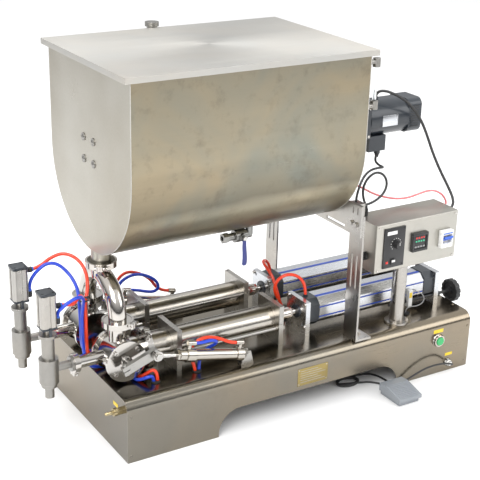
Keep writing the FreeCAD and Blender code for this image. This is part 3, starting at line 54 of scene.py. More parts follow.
def placeCamera(v):
    level = math.cos(v["pitch"])
    ahead = Vector((math.sin(v["yaw"]) * level, math.cos(v["yaw"]) * level, -math.sin(v["pitch"])))
    side = Vector((math.cos(v["yaw"]), -math.sin(v["yaw"]), 0))
    up = side.cross(ahead)
    tiltedSide = side * math.cos(v["roll"]) + up * math.sin(v["roll"])
    tiltedUp = up * math.cos(v["roll"]) - side * math.sin(v["roll"])
    cam = bpy.data.cameras.new("viewpoint")
    cam.lens = v["lens"]
    cam.sensor_width = v["sensor"]
    cam.clip_start = v["near"]
    cam.clip_end = v["far"]
    obj = bpy.data.objects.new("viewpoint", cam)
    turn = Matrix((tiltedSide, tiltedUp, -ahead)).transposed().to_4x4()
    obj.matrix_world = Matrix.Translation(v["place"]) @ turn
    bpy.context.scene.collection.objects.link(obj)
    bpy.context.scene.camera = obj


placeCamera(viewpoint)
bpy.context.scene.view_settings.view_transform = "Standard"
print("camera placed")


# shader groups shared by the finishes
def shaderGroup(name, inputs, outputs):
    tree = bpy.data.node_groups.new(name, "ShaderNodeTree")
    for label, kind, value in inputs:
        sock = tree.interface.new_socket(label, in_out="INPUT", socket_type=kind)
        sock.default_value = value
    for label, kind in outputs:
        tree.interface.new_socket(label, in_out="OUTPUT", socket_type=kind)
    return tree, tree.nodes.new("NodeGroupInput"), tree.nodes.new("NodeGroupOutput")


def wire(tree, pairs):
    for a, b in pairs:
        tree.links.new(a, b)


def mathNode(tree, operation, a=None, b=None, clamp=False):
    node = tree.nodes.new("ShaderNodeMath")
    node.operation = operation
    node.use_clamp = clamp
    for i, value in enumerate((a, b)):
        if value is None:
            continue
        if isinstance(value, (int, float)):
            node.inputs[i].default_value = value
        else:
            tree.links.new(value, node.inputs[i])
    return node.outputs[0]


def noiseNode(tree, vector, scale, detail, rough):
    node = tree.nodes.new("ShaderNodeTexNoise")
    node.inputs["Scale"].default_value = scale
    node.inputs["Detail"].default_value = detail
    node.inputs["Roughness"].default_value = rough
    tree.links.new(vector, node.inputs["Vector"])
    return node


def rangeNode(tree, limits):
    node = tree.nodes.new("ShaderNodeMapRange")
    for label, value in limits.items():
        node.inputs[label].default_value = value
    return node


def bumpNode(tree, strength, distance):
    node = tree.nodes.new("ShaderNodeBump")
    node.inputs["Strength"].default_value = strength
    node.inputs["Distance"].default_value = distance
    return node


def mixColor(tree, factor, a, b):
    node = tree.nodes.new("ShaderNodeMix")
    node.data_type = "RGBA"
    tree.links.new(factor, node.inputs["Factor"])
    for sock, value in ((node.inputs[6], a), (node.inputs[7], b)):
        if isinstance(value, tuple):
            sock.default_value = value
        else:
            tree.links.new(value, sock)
    return node.outputs[2]


def buildGrain():
    tree, inp, out = shaderGroup("brushGrain", [("Stretch", "NodeSocketVector", (3, 200, 200)),
                                                ("Smudge Size", "NodeSocketFloat", 6.0),
                                                ("Grain", "NodeSocketFloat", 0.5)],
                                 [("Gloss Loss", "NodeSocketFloat"), ("Height", "NodeSocketFloat")])
    place = tree.nodes.new("ShaderNodeTexCoord")
    stretch = tree.nodes.new("ShaderNodeVectorMath")
    stretch.operation = "MULTIPLY"
    wire(tree, [(place.outputs["Object"], stretch.inputs[0]), (inp.outputs["Stretch"], stretch.inputs[1])])
    fine = noiseNode(tree, stretch.outputs[0], 1.0, 5, 0.65)
    smudge = noiseNode(tree, place.outputs["Object"], 6.0, 4, 0.6)
    tree.links.new(inp.outputs["Smudge Size"], smudge.inputs["Scale"])
    lines = mathNode(tree, "MULTIPLY", fine.outputs["Fac"], inp.outputs["Grain"])
    patches = mathNode(tree, "MULTIPLY", smudge.outputs["Fac"],
                       mathNode(tree, "SUBTRACT", 1.0, inp.outputs["Grain"]))
    wire(tree, [(mathNode(tree, "ADD", lines, patches, True), out.inputs["Gloss Loss"]),
                (fine.outputs["Fac"], out.inputs["Height"])])
    return tree


def buildTint():
    tree, inp, out = shaderGroup("sheetTint", [("Cool", "NodeSocketColor", (.6, .6, .6, 1)),
                                               ("Warm", "NodeSocketColor", (.7, .6, .5, 1)),
                                               ("Stain", "NodeSocketColor", (.3, .28, .25, 1)),
                                               ("Size", "NodeSocketFloat", 3.0),
                                               ("Stain Amount", "NodeSocketFloat", 0.2)],
                                 [("Color", "NodeSocketColor")])
    place = tree.nodes.new("ShaderNodeTexCoord")
    cloud = noiseNode(tree, place.outputs["Object"], 3.0, 3, 0.55)
    cloud.inputs["Distortion"].default_value = 0.6
    tree.links.new(inp.outputs["Size"], cloud.inputs["Scale"])
    spread = rangeNode(tree, {"From Min": 0.35, "From Max": 0.68})
    tree.links.new(cloud.outputs["Fac"], spread.inputs["Value"])
    base = mixColor(tree, spread.outputs["Result"], inp.outputs["Cool"], inp.outputs["Warm"])
    spots = noiseNode(tree, place.outputs["Object"], 22.0, 6, 0.7)
    dirt = rangeNode(tree, {"From Min": 0.52, "From Max": 0.80})
    tree.links.new(spots.outputs["Fac"], dirt.inputs["Value"])
    amount = mathNode(tree, "MULTIPLY", dirt.outputs["Result"], inp.outputs["Stain Amount"])
    tree.links.new(mixColor(tree, amount, base, inp.outputs["Stain"]), out.inputs["Color"])
    return tree


def buildEdges():
    tree, inp, out = shaderGroup("wornEdge", [("Reach", "NodeSocketFloat", 0.001),
                                              ("Strength", "NodeSocketFloat", 1.0)],
                                 [("Mask", "NodeSocketFloat"), ("Soft Normal", "NodeSocketVector")])
    bevel = tree.nodes.new("ShaderNodeBevel")
    bevel.samples = 4
    shape = tree.nodes.new("ShaderNodeNewGeometry")
    tree.links.new(inp.outputs["Reach"], bevel.inputs["Radius"])
    dot = tree.nodes.new("ShaderNodeVectorMath")
    dot.operation = "DOT_PRODUCT"
    wire(tree, [(bevel.outputs["Normal"], dot.inputs[0]), (shape.outputs["Normal"], dot.inputs[1])])
    bend = mathNode(tree, "SUBTRACT", 1.0, dot.outputs["Value"], True)
    mask = mathNode(tree, "MULTIPLY", mathNode(tree, "MULTIPLY", bend, 5.0, True), inp.outputs["Strength"],
                    True)
    wire(tree, [(mask, out.inputs["Mask"]), (bevel.outputs["Normal"], out.inputs["Soft Normal"])])
    return tree


def buildPebble():
    tree, inp, out = shaderGroup("mouldedSkin",
                                 [("Pebble Size", "NodeSocketFloat", 700.0),
                                  ("Wear", "NodeSocketFloat", 0.3)],
                                 [("Height", "NodeSocketFloat"), ("Rub", "NodeSocketFloat")])
    place = tree.nodes.new("ShaderNodeTexCoord")
    pebble = noiseNode(tree, place.outputs["Object"], 700.0, 2, 0.5)
    tree.links.new(inp.outputs["Pebble Size"], pebble.inputs["Scale"])
    rub = noiseNode(tree, place.outputs["Object"], 35.0, 4, 0.6)
    wire(tree, [(pebble.outputs["Fac"], out.inputs["Height"]),
                (mathNode(tree, "MULTIPLY", rub.outputs["Fac"], inp.outputs["Wear"]), out.inputs["Rub"])])
    return tree


grainGroup = buildGrain()
tintGroup = buildTint()
edgeGroup = buildEdges()
skinGroup = buildPebble()


def addGroup(tree, group, **values):
    node = tree.nodes.new("ShaderNodeGroup")
    node.node_tree = group
    for label, value in values.items():
        node.inputs[label.replace("_", " ")].default_value = value
    return node


def blankMaterial(name):
    mat = bpy.data.materials.new(name)
    mat.use_nodes = True
    tree = mat.node_tree
    return mat, tree, tree.nodes["Principled BSDF"]


def opaque(color):
    return (color[0], color[1], color[2], 1.0)


def steelFinish(name, cool, warm, stain, rough, span, stretch, smudge=6.0, grain=0.5, stainAmount=0.2,
                tintSize=3.0,
                bump=0.02, edge=0.0008, edgeColor=(.72, .70, .66), edgeStrength=0.45, aniso=0.0):
    mat, tree, shader = blankMaterial(name)
    shader.inputs["Metallic"].default_value = 1.0
    shader.inputs["Anisotropic"].default_value = aniso
    brush = addGroup(tree, grainGroup, Stretch=stretch, Smudge_Size=smudge, Grain=grain)
    tint = addGroup(tree, tintGroup, Cool=opaque(cool), Warm=opaque(warm), Stain=opaque(stain),
                    Size=tintSize, Stain_Amount=stainAmount)
    worn = addGroup(tree, edgeGroup, Reach=edge, Strength=edgeStrength)
    wire(tree, [(mixColor(tree, worn.outputs["Mask"], tint.outputs["Color"], opaque(edgeColor)),
                 shader.inputs["Base Color"])])
    ramp = rangeNode(tree, {"From Min": 0.3, "From Max": 0.7, "To Min": rough, "To Max": rough + span})
    lift = bumpNode(tree, bump, 0.001)
    wire(tree, [(brush.outputs["Gloss Loss"], ramp.inputs["Value"]),
                (ramp.outputs["Result"], shader.inputs["Roughness"]),
                (brush.outputs["Height"], lift.inputs["Height"]),
                (worn.outputs["Soft Normal"], lift.inputs["Normal"]),
                (lift.outputs["Normal"], shader.inputs["Normal"])])
    return mat


def mouldedFinish(name, color, rubbed, rough, pebble=700.0, bump=0.15, wear=0.5, coat=0.0, edge=0.0006,
                  edgeStrength=0.5, metallic=0.0):
    mat, tree, shader = blankMaterial(name)
    shader.inputs["Coat Weight"].default_value = coat
    shader.inputs["Coat Roughness"].default_value = 0.12
    shader.inputs["Metallic"].default_value = metallic
    skin = addGroup(tree, skinGroup, Pebble_Size=pebble, Wear=wear)
    worn = addGroup(tree, edgeGroup, Reach=edge, Strength=edgeStrength)
    both = mathNode(tree, "ADD", skin.outputs["Rub"], worn.outputs["Mask"], True)
    ramp = rangeNode(tree, {"To Min": rough, "To Max": min(1.0, rough + 0.25)})
    lift = bumpNode(tree, bump, 0.0004)
    wire(tree, [(mixColor(tree, both, opaque(color), opaque(rubbed)), shader.inputs["Base Color"]),
                (skin.outputs["Rub"], ramp.inputs["Value"]),
                (ramp.outputs["Result"], shader.inputs["Roughness"]),
                (skin.outputs["Height"], lift.inputs["Height"]),
                (worn.outputs["Soft Normal"], lift.inputs["Normal"]),
                (lift.outputs["Normal"], shader.inputs["Normal"])])
    return mat


cabinetSteel = steelFinish("cabinetSteel", (.21, .195, .165), (.26, .22, .165), (.10, .085, .07), 0.14,
                           0.16, (2.5, 240, 240), smudge=5,
                           aniso=0.3)
hopperSteel = steelFinish("hopperSteel", (.225, .228, .195), (.315, .265, .185), (.12, .10, .075), 0.24,
                          0.20, (2.0, 170, 170), smudge=4,
                          stainAmount=0.5, tintSize=4.2, bump=0.03, aniso=0.4)
boxSteel = steelFinish("boxSteel", (.43, .42, .385), (.47, .44, .385), (.2, .18, .15), 0.26, 0.16,
                       (2.5, 220, 220), smudge=8, aniso=0.3)
lidSteel = steelFinish("lidSteel", (.54, .535, .51), (.58, .55, .50), (.38, .36, .33), 0.38, 0.12,
                       (2.0, 150, 150), smudge=3, stainAmount=0.1,
                       aniso=0.3)
polishedTube = steelFinish("polishedTube", (.50, .49, .47), (.56, .51, .46), (.18, .16, .14), 0.06, 0.12,
                           (30, 30, 30), smudge=18,
                           grain=0.2, bump=0.01, stainAmount=0.2)
brushedTube = steelFinish("brushedTube", (.43, .41, .375), (.49, .44, .37), (.16, .14, .12), 0.13, 0.14,
                          (6, 320, 320), smudge=14, bump=0.02)
machinedSteel = steelFinish("machinedSteel", (.38, .375, .36), (.43, .40, .36), (.13, .12, .11), 0.22, 0.16,
                            (60, 260, 60), smudge=25,
                            bump=0.03)
aluminiumProfile = steelFinish("aluminiumProfile", (.62, .64, .67), (.58, .59, .61), (.3, .3, .3), 0.22,
                               0.10, (4, 300, 300), smudge=12,
                               bump=0.02)
castSteel = steelFinish("castSteel", (.27, .27, .26), (.33, .31, .28), (.10, .095, .09), 0.28, 0.18,
                        (120, 120, 120), smudge=60, bump=0.12)
nickelBrass = steelFinish("nickelBrass", (.42, .35, .20), (.40, .31, .16), (.14, .12, .08), 0.16, 0.15,
                          (200, 60, 60), smudge=50)
goldPlate = steelFinish("goldPlate", (.34, .265, .105), (.30, .235, .10), (.17, .13, .07), 0.24, 0.14,
                        (40, 320, 40), smudge=60)
slatePaint = mouldedFinish("slatePaint", (.012, .017, .024), (.035, .043, .054), 0.30, pebble=900,
                           bump=0.10, coat=0.3)
blackPlastic = mouldedFinish("blackPlastic", (.012, .012, .013), (.05, .05, .05), 0.34)
greyPedal = mouldedFinish("greyPedal", (.22, .24, .265), (.33, .35, .37), 0.34, pebble=420, bump=0.35,
                          coat=0.2)
greenCap = mouldedFinish("greenCap", (.005, .36, .09), (.08, .52, .2), 0.22, bump=0.03, wear=0.3, coat=0.4)
whitePlastic = mouldedFinish("whitePlastic", (.80, .80, .78), (.68, .67, .64), 0.33, bump=0.05, wear=0.4)
blueSleeve = mouldedFinish("blueSleeve", (.012, .02, .16), (.05, .07, .28), 0.32, coat=0.3)
blueToggle = mouldedFinish("blueToggle", (.01, .08, .50), (.08, .18, .62), 0.3, bump=0.03)
stripeBlue = mouldedFinish("stripeBlue", (.015, .06, .42), (.05, .12, .5), 0.34, bump=0.02, wear=0.3)
collarBlue = mouldedFinish("collarBlue", (.02, .12, .55), (.08, .22, .65), 0.35, bump=0.03, wear=0.3)
labelYellow = mouldedFinish("labelYellow", (.80, .58, .02), (.70, .50, .06), 0.4, bump=0.02, wear=0.4)
grommetRubber = mouldedFinish("grommetRubber", (.012, .012, .012), (.05, .05, .05), 0.6)
displayGlow = mouldedFinish("displayGlow", (.05, .45, .25), (.05, .40, .22), 0.2, bump=0.0, wear=0.2,
                            edgeStrength=0.0)
displayRed = mouldedFinish("displayRed", (.62, .03, .02), (.5, .03, .02), 0.2, bump=0.0, wear=0.2,
                           edgeStrength=0.0)


def hoseFinish(name, color, deep, coat=0.35, rough=0.28):
    mat, tree, shader = blankMaterial(name)
    shader.inputs["Coat Weight"].default_value = coat
    shader.inputs["Coat Roughness"].default_value = 0.15
    skin = addGroup(tree, skinGroup, Pebble_Size=260.0, Wear=0.9)
    ramp = rangeNode(tree, {"To Min": rough, "To Max": rough + 0.2})
    lift = bumpNode(tree, 0.05, 0.0003)
    wire(tree, [(mixColor(tree, skin.outputs["Rub"], opaque(color), opaque(deep)),
                 shader.inputs["Base Color"]),
                (skin.outputs["Rub"], ramp.inputs["Value"]),
                (ramp.outputs["Result"], shader.inputs["Roughness"]),
                (skin.outputs["Height"], lift.inputs["Height"]),
                (lift.outputs["Normal"], shader.inputs["Normal"])])
    return mat


# the trough: painted reflection and shade bands by height over the sheet's own tint, and a painted highlight
# on the end sheet that faces the key light
def paintTroughLightAndShade(mat, light=(.52, .51, .465)):
    tree = mat.node_tree
    shader = tree.nodes["Principled BSDF"]
    tint = shader.inputs["Base Color"].links[0].from_socket
    look = tree.nodes.new("ShaderNodeTexCoord")
    facing = tree.nodes.new("ShaderNodeSeparateXYZ")
    spotAt = tree.nodes.new("ShaderNodeSeparateXYZ")
    wire(tree, [(look.outputs["Normal"], facing.inputs[0]), (look.outputs["Object"], spotAt.inputs[0])])
    # painted reflection and shade: grey bands by height, lighter and darker, multiplied into the sheet's tint
    paintedReflectionBands = tree.nodes.new("ShaderNodeValToRGB")
    ramp = paintedReflectionBands.color_ramp
    ramp.elements[0].position, ramp.elements[0].color = 0.0, (.62, .62, .62, 1)
    ramp.elements[1].position, ramp.elements[1].color = 1.0, (1.0, 1.0, .98, 1)
    for position, level in ((0.10, 0.95), (0.22, 1.9), (0.30, 1.45), (0.37, 0.66), (0.46, 0.8), (0.60, 1.12)):
        ramp.elements.new(position).color = (level, level, level * 0.98, 1)
    span = rangeNode(tree, {"From Min": 0.44, "From Max": 0.88})
    wave = noiseNode(tree, look.outputs["Object"], 5.0, 2, 0.5)
    drift = mathNode(tree, "MULTIPLY_ADD", wave.outputs["Fac"], 0.05)
    tree.links.new(spotAt.outputs["Z"], drift.node.inputs[2])
    wire(tree, [(drift, span.inputs["Value"]), (span.outputs["Result"], paintedReflectionBands.inputs["Fac"])])
    shade = tree.nodes.new("ShaderNodeMix")
    shade.data_type = "RGBA"
    shade.blend_type = "MULTIPLY"
    shade.inputs["Factor"].default_value = 1.0
    wire(tree, [(tint, shade.inputs[6]), (paintedReflectionBands.outputs["Color"], shade.inputs[7])])
    # painted highlight: faces turned to -x, towards the key light, take a lighter mottled colour
    paintedLitEnd = mathNode(tree, "MULTIPLY", facing.outputs["X"], -1.6, True)
    mottle = mixColor(tree, wave.outputs["Fac"], opaque(light), (.33, .295, .235, 1))
    tree.links.new(mixColor(tree, paintedLitEnd, shade.outputs[2], mottle), shader.inputs["Base Color"])


paintTroughLightAndShade(hopperSteel)
redHose = hoseFinish("redHose", (.92, .055, .008), (.72, .03, .005))
blueHose = hoseFinish("blueHose", (.012, .07, .66), (.006, .03, .42))
blackSheath = hoseFinish("blackSheath", (.014, .014, .015), (.04, .04, .04), coat=0.1, rough=0.42)
greySheath = hoseFinish("greySheath", (.30, .30, .30), (.22, .22, .22), coat=0.1, rough=0.4)
pinkSheath = hoseFinish("pinkSheath", (.75, .10, .12), (.80, .35, .35), coat=0.2, rough=0.35)


def glassFinish(name):
    mat, tree, shader = blankMaterial(name)
    shader.inputs["Base Color"].default_value = (.95, .98, .98, 1)
    shader.inputs["Transmission Weight"].default_value = 1.0
    shader.inputs["IOR"].default_value = 1.47
    skin = addGroup(tree, skinGroup, Pebble_Size=300.0, Wear=0.2)
    ramp = rangeNode(tree, {"To Min": 0.02, "To Max": 0.16})
    wire(tree, [(skin.outputs["Rub"], ramp.inputs["Value"]),
                (ramp.outputs["Result"], shader.inputs["Roughness"])])
    return mat


gaugeGlass = glassFinish("gaugeGlass")

finishOf = {
    "base_cabinet": cabinetSteel, "end_panels": cabinetSteel, "hopper": hopperSteel, "hopper_lid": lidSteel,
    "metering_cylinders": brushedTube, "feed_manifold": polishedTube, "valve_bodies": polishedTube,
    "pipe_clamps": polishedTube,
    "deck_brackets": machinedSteel, "cylinder_plates": aluminiumProfile, "nozzle_bodies": castSteel,
    "nozzle_stem_front": machinedSteel,
    "nozzle_stem_rear": machinedSteel, "valve_rotor_front": machinedSteel,
    "valve_rotor_rear": machinedSteel, "piston_front": polishedTube,
    "piston_rear": polishedTube, "turn_cylinder_front": brushedTube, "turn_cylinder_rear": brushedTube,
    "turn_rod_front": polishedTube,
    "turn_rod_rear": polishedTube, "hopper_fittings": castSteel, "agitator": machinedSteel,
    "gantry": machinedSteel,
    "control_box": boxSteel, "deck_grommets": grommetRubber, "air_cylinder_barrels": aluminiumProfile,
    "solenoid_valve_bank": aluminiumProfile, "air_cylinder_caps": slatePaint, "gear_motor": slatePaint,
    "handwheel": blackPlastic,
    "panel_fittings": blackPlastic, "speed_knob": blackPlastic,
    "start_button": greenCap, "air_inlet_coupling": nickelBrass, "sight_glass": gaugeGlass,
    "breaker_toggle": blueToggle,
    "stroke_sensor": whitePlastic, "pedal_base": greyPedal, "pedal_treadle": greyPedal,
}
for nodeName, mat in finishOf.items():
    mesh = nodes[nodeName].data
    for i in range(len(mesh.materials)):
        mesh.materials[i] = mat
print("finishes assigned")

# free hoses and cables: routes in millimetres, as (x, y, z) of the centre line
hoseRuns = {
    "nozzle_hose_front_red": dict(mat=redHose, radius=4.0, length=0.498, points=[
        (-592, -82, 360), (-575, -81, 356), (-558, -70, 350), (-542, -54, 354), (-527, -38, 352),
        (-516, -29, 334), (-513, -30, 304),
        (-514, -31, 262), (-513, -30, 222), (-511, -29, 190), (-502, -26, 170), (-480, -24, 160),
        (-452, -25, 158), (-434, -34, 157.5),
        (-428, -54, 157.5), (-428, -82, 157.7), (-428, -108, 158), (-424, -127, 161), (-413, -137, 172),
        (-402, -145, 183),
        (-394, -150, 174), (-393, -150, 156)]),
    "nozzle_hose_front_blue": dict(mat=blueHose, radius=4.0, length=0.524, points=[
        (-603, -82, 336), (-603, -84, 346), (-599, -94, 357), (-584, -97, 369), (-562, -92, 374),
        (-542, -76, 366), (-529, -56, 348),
        (-524, -40, 326), (-523, -31, 300), (-523, -30, 264), (-523, -32, 222), (-520, -35, 186),
        (-507, -35, 166), (-480, -33.5, 158.5),
        (-456, -34, 157.5), (-442, -42, 157.5), (-438, -62, 157.5), (-438.5, -88, 157.7),
        (-438, -112, 157.5), (-437, -132, 158),
        (-426, -145, 165), (-415, -152, 171), (-405, -151, 168), (-403, -150, 156)]),
    "nozzle_hose_rear_red": dict(mat=redHose, radius=4.0, length=0.435, points=[
        (-592, 82, 384), (-574, 81, 388), (-552, 76, 406), (-524, 64, 418), (-498, 44, 406),
        (-487, 22, 380), (-494, -2, 354),
        (-506, -15, 326), (-512, -19, 292), (-512, -19, 252), (-511, -18, 214), (-500, -12, 186),
        (-478, -5, 173), (-454, -2, 178),
        (-443, 0, 172), (-443, 0, 156)]),
    "nozzle_hose_rear_blue": dict(mat=blueHose, radius=4.0, length=0.449, points=[
        (-603, 82, 336), (-602, 81, 352), (-597, 75, 368), (-585, 69, 385), (-566, 65, 399),
        (-542, 58, 397), (-521, 42, 374),
        (-514, 18, 352), (-518, -4, 334), (-522, -16, 308), (-522, -19, 272), (-521, -17, 236),
        (-514, -5, 204), (-496, 8, 184),
        (-470, 12, 176), (-445, 8, 184), (-433, 1, 176), (-433, 0, 156)]),
    "turn_hose_front_red": dict(mat=redHose, radius=4.0, length=0.180, points=[
        (-196.9, -169, 212.9), (-212.6, -169, 216.3), (-234, -158, 227), (-258, -151, 234),
        (-284, -147, 232), (-303, -144, 214),
        (-308, -144, 192), (-298, -149, 175), (-295, -150, 156)]),
    "turn_hose_front_blue": dict(mat=blueHose, radius=4.0, length=0.151, points=[
        (-305.3, -169, 236.8), (-289.7, -169, 233.3), (-268, -172, 237), (-250, -170, 230),
        (-247, -161, 218), (-257, -150, 207),
        (-270, -143, 195), (-282, -145, 178), (-285, -150, 156)]),
    "turn_hose_rear_red": dict(mat=redHose, radius=4.0, length=0.361, points=[
        (-196.9, 169, 212.9), (-214.5, 169, 216.7), (-235, 169, 234), (-246, 166, 252), (-264, 164, 269),
        (-288, 163, 283),
        (-312, 162, 291), (-334, 159, 287), (-352, 154, 270), (-361, 150, 244), (-361, 149, 216),
        (-353, 150, 192), (-335, 154, 177),
        (-312, 158, 173), (-294, 159, 176), (-285, 151, 172), (-285, 150, 156)]),
    "turn_hose_rear_blue": dict(mat=blueHose, radius=4.0, length=0.388, points=[
        (-305.3, 169, 236.8), (-285.8, 169, 232.5), (-262, 168, 224), (-243, 160, 222), (-232, 152, 234),
        (-240, 149, 256),
        (-262, 150, 273), (-289, 149, 285), (-316, 148, 286), (-341, 145, 277), (-358, 140, 258),
        (-365, 137, 232), (-361, 136, 206),
        (-350, 137, 186), (-332, 140, 177), (-311, 144, 176), (-296, 149, 174), (-295, 150, 156)]),
    "cylinder_hose_front": dict(mat=redHose, radius=4.0, length=0.268, points=[
        (57, -82, 248), (56, -82, 266), (47, -80, 288), (28, -75, 304), (4, -67, 306), (-13, -57, 290),
        (-16, -50, 266), (-5, -43, 244),
        (8, -38, 226), (19, -32, 206), (28, -22, 186), (33, -14, 170), (33, -12, 156)]),
    "cylinder_hose_rear": dict(mat=redHose, radius=4.0, length=0.226, points=[
        (57, 82, 248), (55, 82, 264), (46, 81, 279), (33, 76, 286), (22, 62, 287), (22, 42, 278),
        (27, 22, 260), (29, 6, 232),
        (34, -3, 202), (42, -10, 178), (43, -12, 156)]),
    "motor_cable": dict(mat=blackSheath, radius=3.5, length=0.416, points=[
        (290, -14, 711), (293, -16, 724), (309, -27, 727), (328, -46, 719), (350, -62, 704),
        (374, -67, 680), (398, -68, 650),
        (416, -72, 614), (426, -88, 570), (438, -108, 526), (450, -132, 486), (454, -152, 458),
        (447, -161, 441), (434, -162, 436)]),
    "terminal_lead": dict(mat=blackSheath, radius=3.0, length=0.256, points=[
        (300, -22, 565), (290, -26, 548), (289, -48, 541), (280, -76, 546), (262, -96, 553),
        (238, -106, 558), (212, -113, 559),
        (188, -121, 551), (167, -134, 538), (150, -147, 522), (143, -152, 510), (143, -152, 500)]),
    "box_lead": dict(mat=blackSheath, radius=3.0, length=0.259, points=[
        (156, -156, 488), (176, -156, 489), (206, -153, 495), (233, -147, 509), (244, -141, 530),
        (236, -135, 551), (214, -131, 559),
        (191, -130, 547), (178, -130, 524), (179, -132, 498), (187, -133, 481), (188, -133, 466)]),
    "heater_wires": dict(mat=pinkSheath, radius=2.5, length=0.359, points=[
        (133, -112, 536), (150, -112, 534), (176, -111, 524), (204, -109, 508), (232, -108, 492),
        (264, -108, 479), (298, -112, 470),
        (332, -116, 468), (362, -121, 475), (388, -124, 481), (412, -127, 479), (432, -132, 468),
        (443, -137, 451), (443, -139, 440),
        (434, -140, 436)]),
    "sensor_wire": dict(mat=greySheath, radius=1.5, length=0.123, points=[
        (368.3, -121, 204), (381, -121, 204), (396, -128, 198), (404, -134, 184), (396, -136, 171),
        (378, -136, 167), (358, -136, 170),
        (343, -134, 167), (342, -134, 156)]),
}


def smoothTube(name, points, radius, mat):
    curve = bpy.data.curves.new(name, "CURVE")
    curve.dimensions = "3D"
    curve.bevel_depth = radius
    curve.bevel_resolution = 4
    curve.resolution_u = 10
    curve.use_fill_caps = True
    spline = curve.splines.new("NURBS")
    spline.points.add(len(points) - 1)
    for point, at in zip(spline.points, points):
        point.co = (at[0], at[1], at[2], 1.0)
    spline.order_u = 3
    spline.use_endpoint_u = True
    curve.materials.append(mat)
    obj = bpy.data.objects.new(name, curve)
    bpy.context.scene.collection.objects.link(obj)
    return obj


for name, run in hoseRuns.items():
    points = [mm(*p) for p in run["points"]]
    tube = smoothTube(name + "_line", points, run["radius"] * 0.001, run["mat"])
    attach(tube, "frame")
    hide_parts(name)

pedalLead = {"radius": 2.5, "turns": 4, "length": 1.10, "middle": (159.0, -144.0), "wide": 33.0,
             "deep": 21.2, "steps": 14,
             "leaving": [(433, -224, 24), (432, -237, 27), (417, -241, 36), (394, -239, 41),
                         (366, -235, 41), (338, -231, 36), (310, -228, 25),
                         (286, -224, 13), (266, -219, 5), (253, -206, 3.2), (252, -180, 2.8),
                         (249, -154, 2.8), (236, -134, 2.8), (214, -126, 2.8)],
             "arriving": [(204, -166, 2.8), (222, -182, 2.8), (234, -201, 3.2), (240, -216, 4.5),
                          (240, -224, 5)]}


def coilPoints(lead):
    middle = lead["middle"]
    points = []
    for k in range(lead["turns"] * lead["steps"] + 5):
        angle = math.pi / 2 + 2 * math.pi * k / lead["steps"]
        turn = k / lead["steps"]
        wide = lead["wide"] - 2.6 * (turn % 2) - 0.8 * math.sin(1.7 * turn)
        deep = lead["deep"] - 2.4 * (turn % 2) + 0.5 * math.sin(2.3 * turn)
        lift = 2.9 + 3.3 * min(1.0, max(0.0, turn - 1.0) / max(1.0, lead["turns"] - 1.0))
        points.append((middle[0] + wide * math.cos(angle), middle[1] + deep * math.sin(angle), lift))
    return points


pedalPoints = [mm(*p) for p in pedalLead["leaving"] + coilPoints(pedalLead) + pedalLead["arriving"]]
pedalLine = smoothTube("pedal_lead", pedalPoints, pedalLead["radius"] * 0.001, blackSheath)
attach(pedalLine, "frame")
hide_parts("pedal_cable", "pedal_cable_coil")
print("hoses and cables laid")


# mesh helpers: sizes in millimetres, placed in the frame's metres
# a slot is an index into the piece's own finishes
def spot(at):
    return Vector(mm(*at))


def acrossOf(axis):
    along = Vector(axis).normalized()
    side = along.orthogonal().normalized()
    return along, side, along.cross(side)


def addLathe(bm, at, axis, profile, steps=32, slot=0):
    along, side, up = acrossOf(axis)
    start = spot(at)
    rings = []
    for reach, radius in profile:
        middle = start + along * reach * 0.001
        if radius == 0:
            rings.append([bm.verts.new(middle)])
            continue
        ring = []
        for k in range(steps):
            angle = 2 * math.pi * k / steps
            outward = side * math.cos(angle) + up * math.sin(angle)
            ring.append(bm.verts.new(middle + outward * radius * 0.001))
        rings.append(ring)
    for a, b in zip(rings, rings[1:]):
        for k in range(steps):
            n = (k + 1) % steps
            corners = ([a[0]] if len(a) == 1 else [a[k], a[n]]) + ([b[0]] if len(b) == 1 else [b[n], b[k]])
            face = bm.faces.new(corners)
            face.material_index = slot


def addBlock(bm, low, high, slot=0, round=0.6, segments=2):
    a, b = spot(low), spot(high)
    made = bmesh.ops.create_cube(bm, size=1.0)["verts"]
    for v in made:
        v.co = Vector([(a[i] + b[i]) / 2 + v.co[i] * (b[i] - a[i]) for i in range(3)])
    faces = {f for v in made for f in v.link_faces}
    for f in faces:
        f.material_index = slot
    if round:
        edges = list({e for f in faces for e in f.edges})
        done = bmesh.ops.bevel(bm, geom=edges, offset=round * 0.001, segments=segments, profile=0.5,
                               affect="EDGES", clamp_overlap=True)
        for f in done["faces"]:
            f.material_index = slot


def addPrism(bm, outline, axis, start, end, slot=0):
    rows = []
    for level in (start, end):
        row = []
        for u, v in outline:
            at = (u, v, level) if axis == "z" else (level, u, v) if axis == "x" else (u, level, v)
            row.append(bm.verts.new(spot(at)))
        rows.append(row)
    count = len(outline)
    for k in range(count):
        n = (k + 1) % count
        bm.faces.new((rows[0][k], rows[0][n], rows[1][n], rows[1][k])).material_index = slot
    for row in rows:
        bm.faces.new(row).material_index = slot


def finishPiece(name, bm, mats, body, replaced=(), sharp=35):
    bmesh.ops.recalc_face_normals(bm, faces=bm.faces)
    mesh = bpy.data.meshes.new(name)
    bm.to_mesh(mesh)
    bm.free()
    for mat in mats:
        mesh.materials.append(mat)
    for polygon in mesh.polygons:
        polygon.use_smooth = True
    mesh.set_sharp_from_angle(angle=math.radians(sharp))
    obj = bpy.data.objects.new(name, mesh)
    bpy.context.scene.collection.objects.link(obj)
    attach(obj, body)
    if replaced:
        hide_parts(*replaced)
    return obj


# geometry node trees for what repeats
def nodeTree(name, inputs):
    tree = bpy.data.node_groups.new(name, "GeometryNodeTree")
    tree.interface.new_socket("Geometry", in_out="OUTPUT", socket_type="NodeSocketGeometry")
    tree.interface.new_socket("Places", in_out="INPUT", socket_type="NodeSocketGeometry")
    for label, kind, value in inputs:
        tree.interface.new_socket(label, in_out="INPUT", socket_type=kind).default_value = value
    return tree, tree.nodes.new("NodeGroupInput"), tree.nodes.new("NodeGroupOutput")


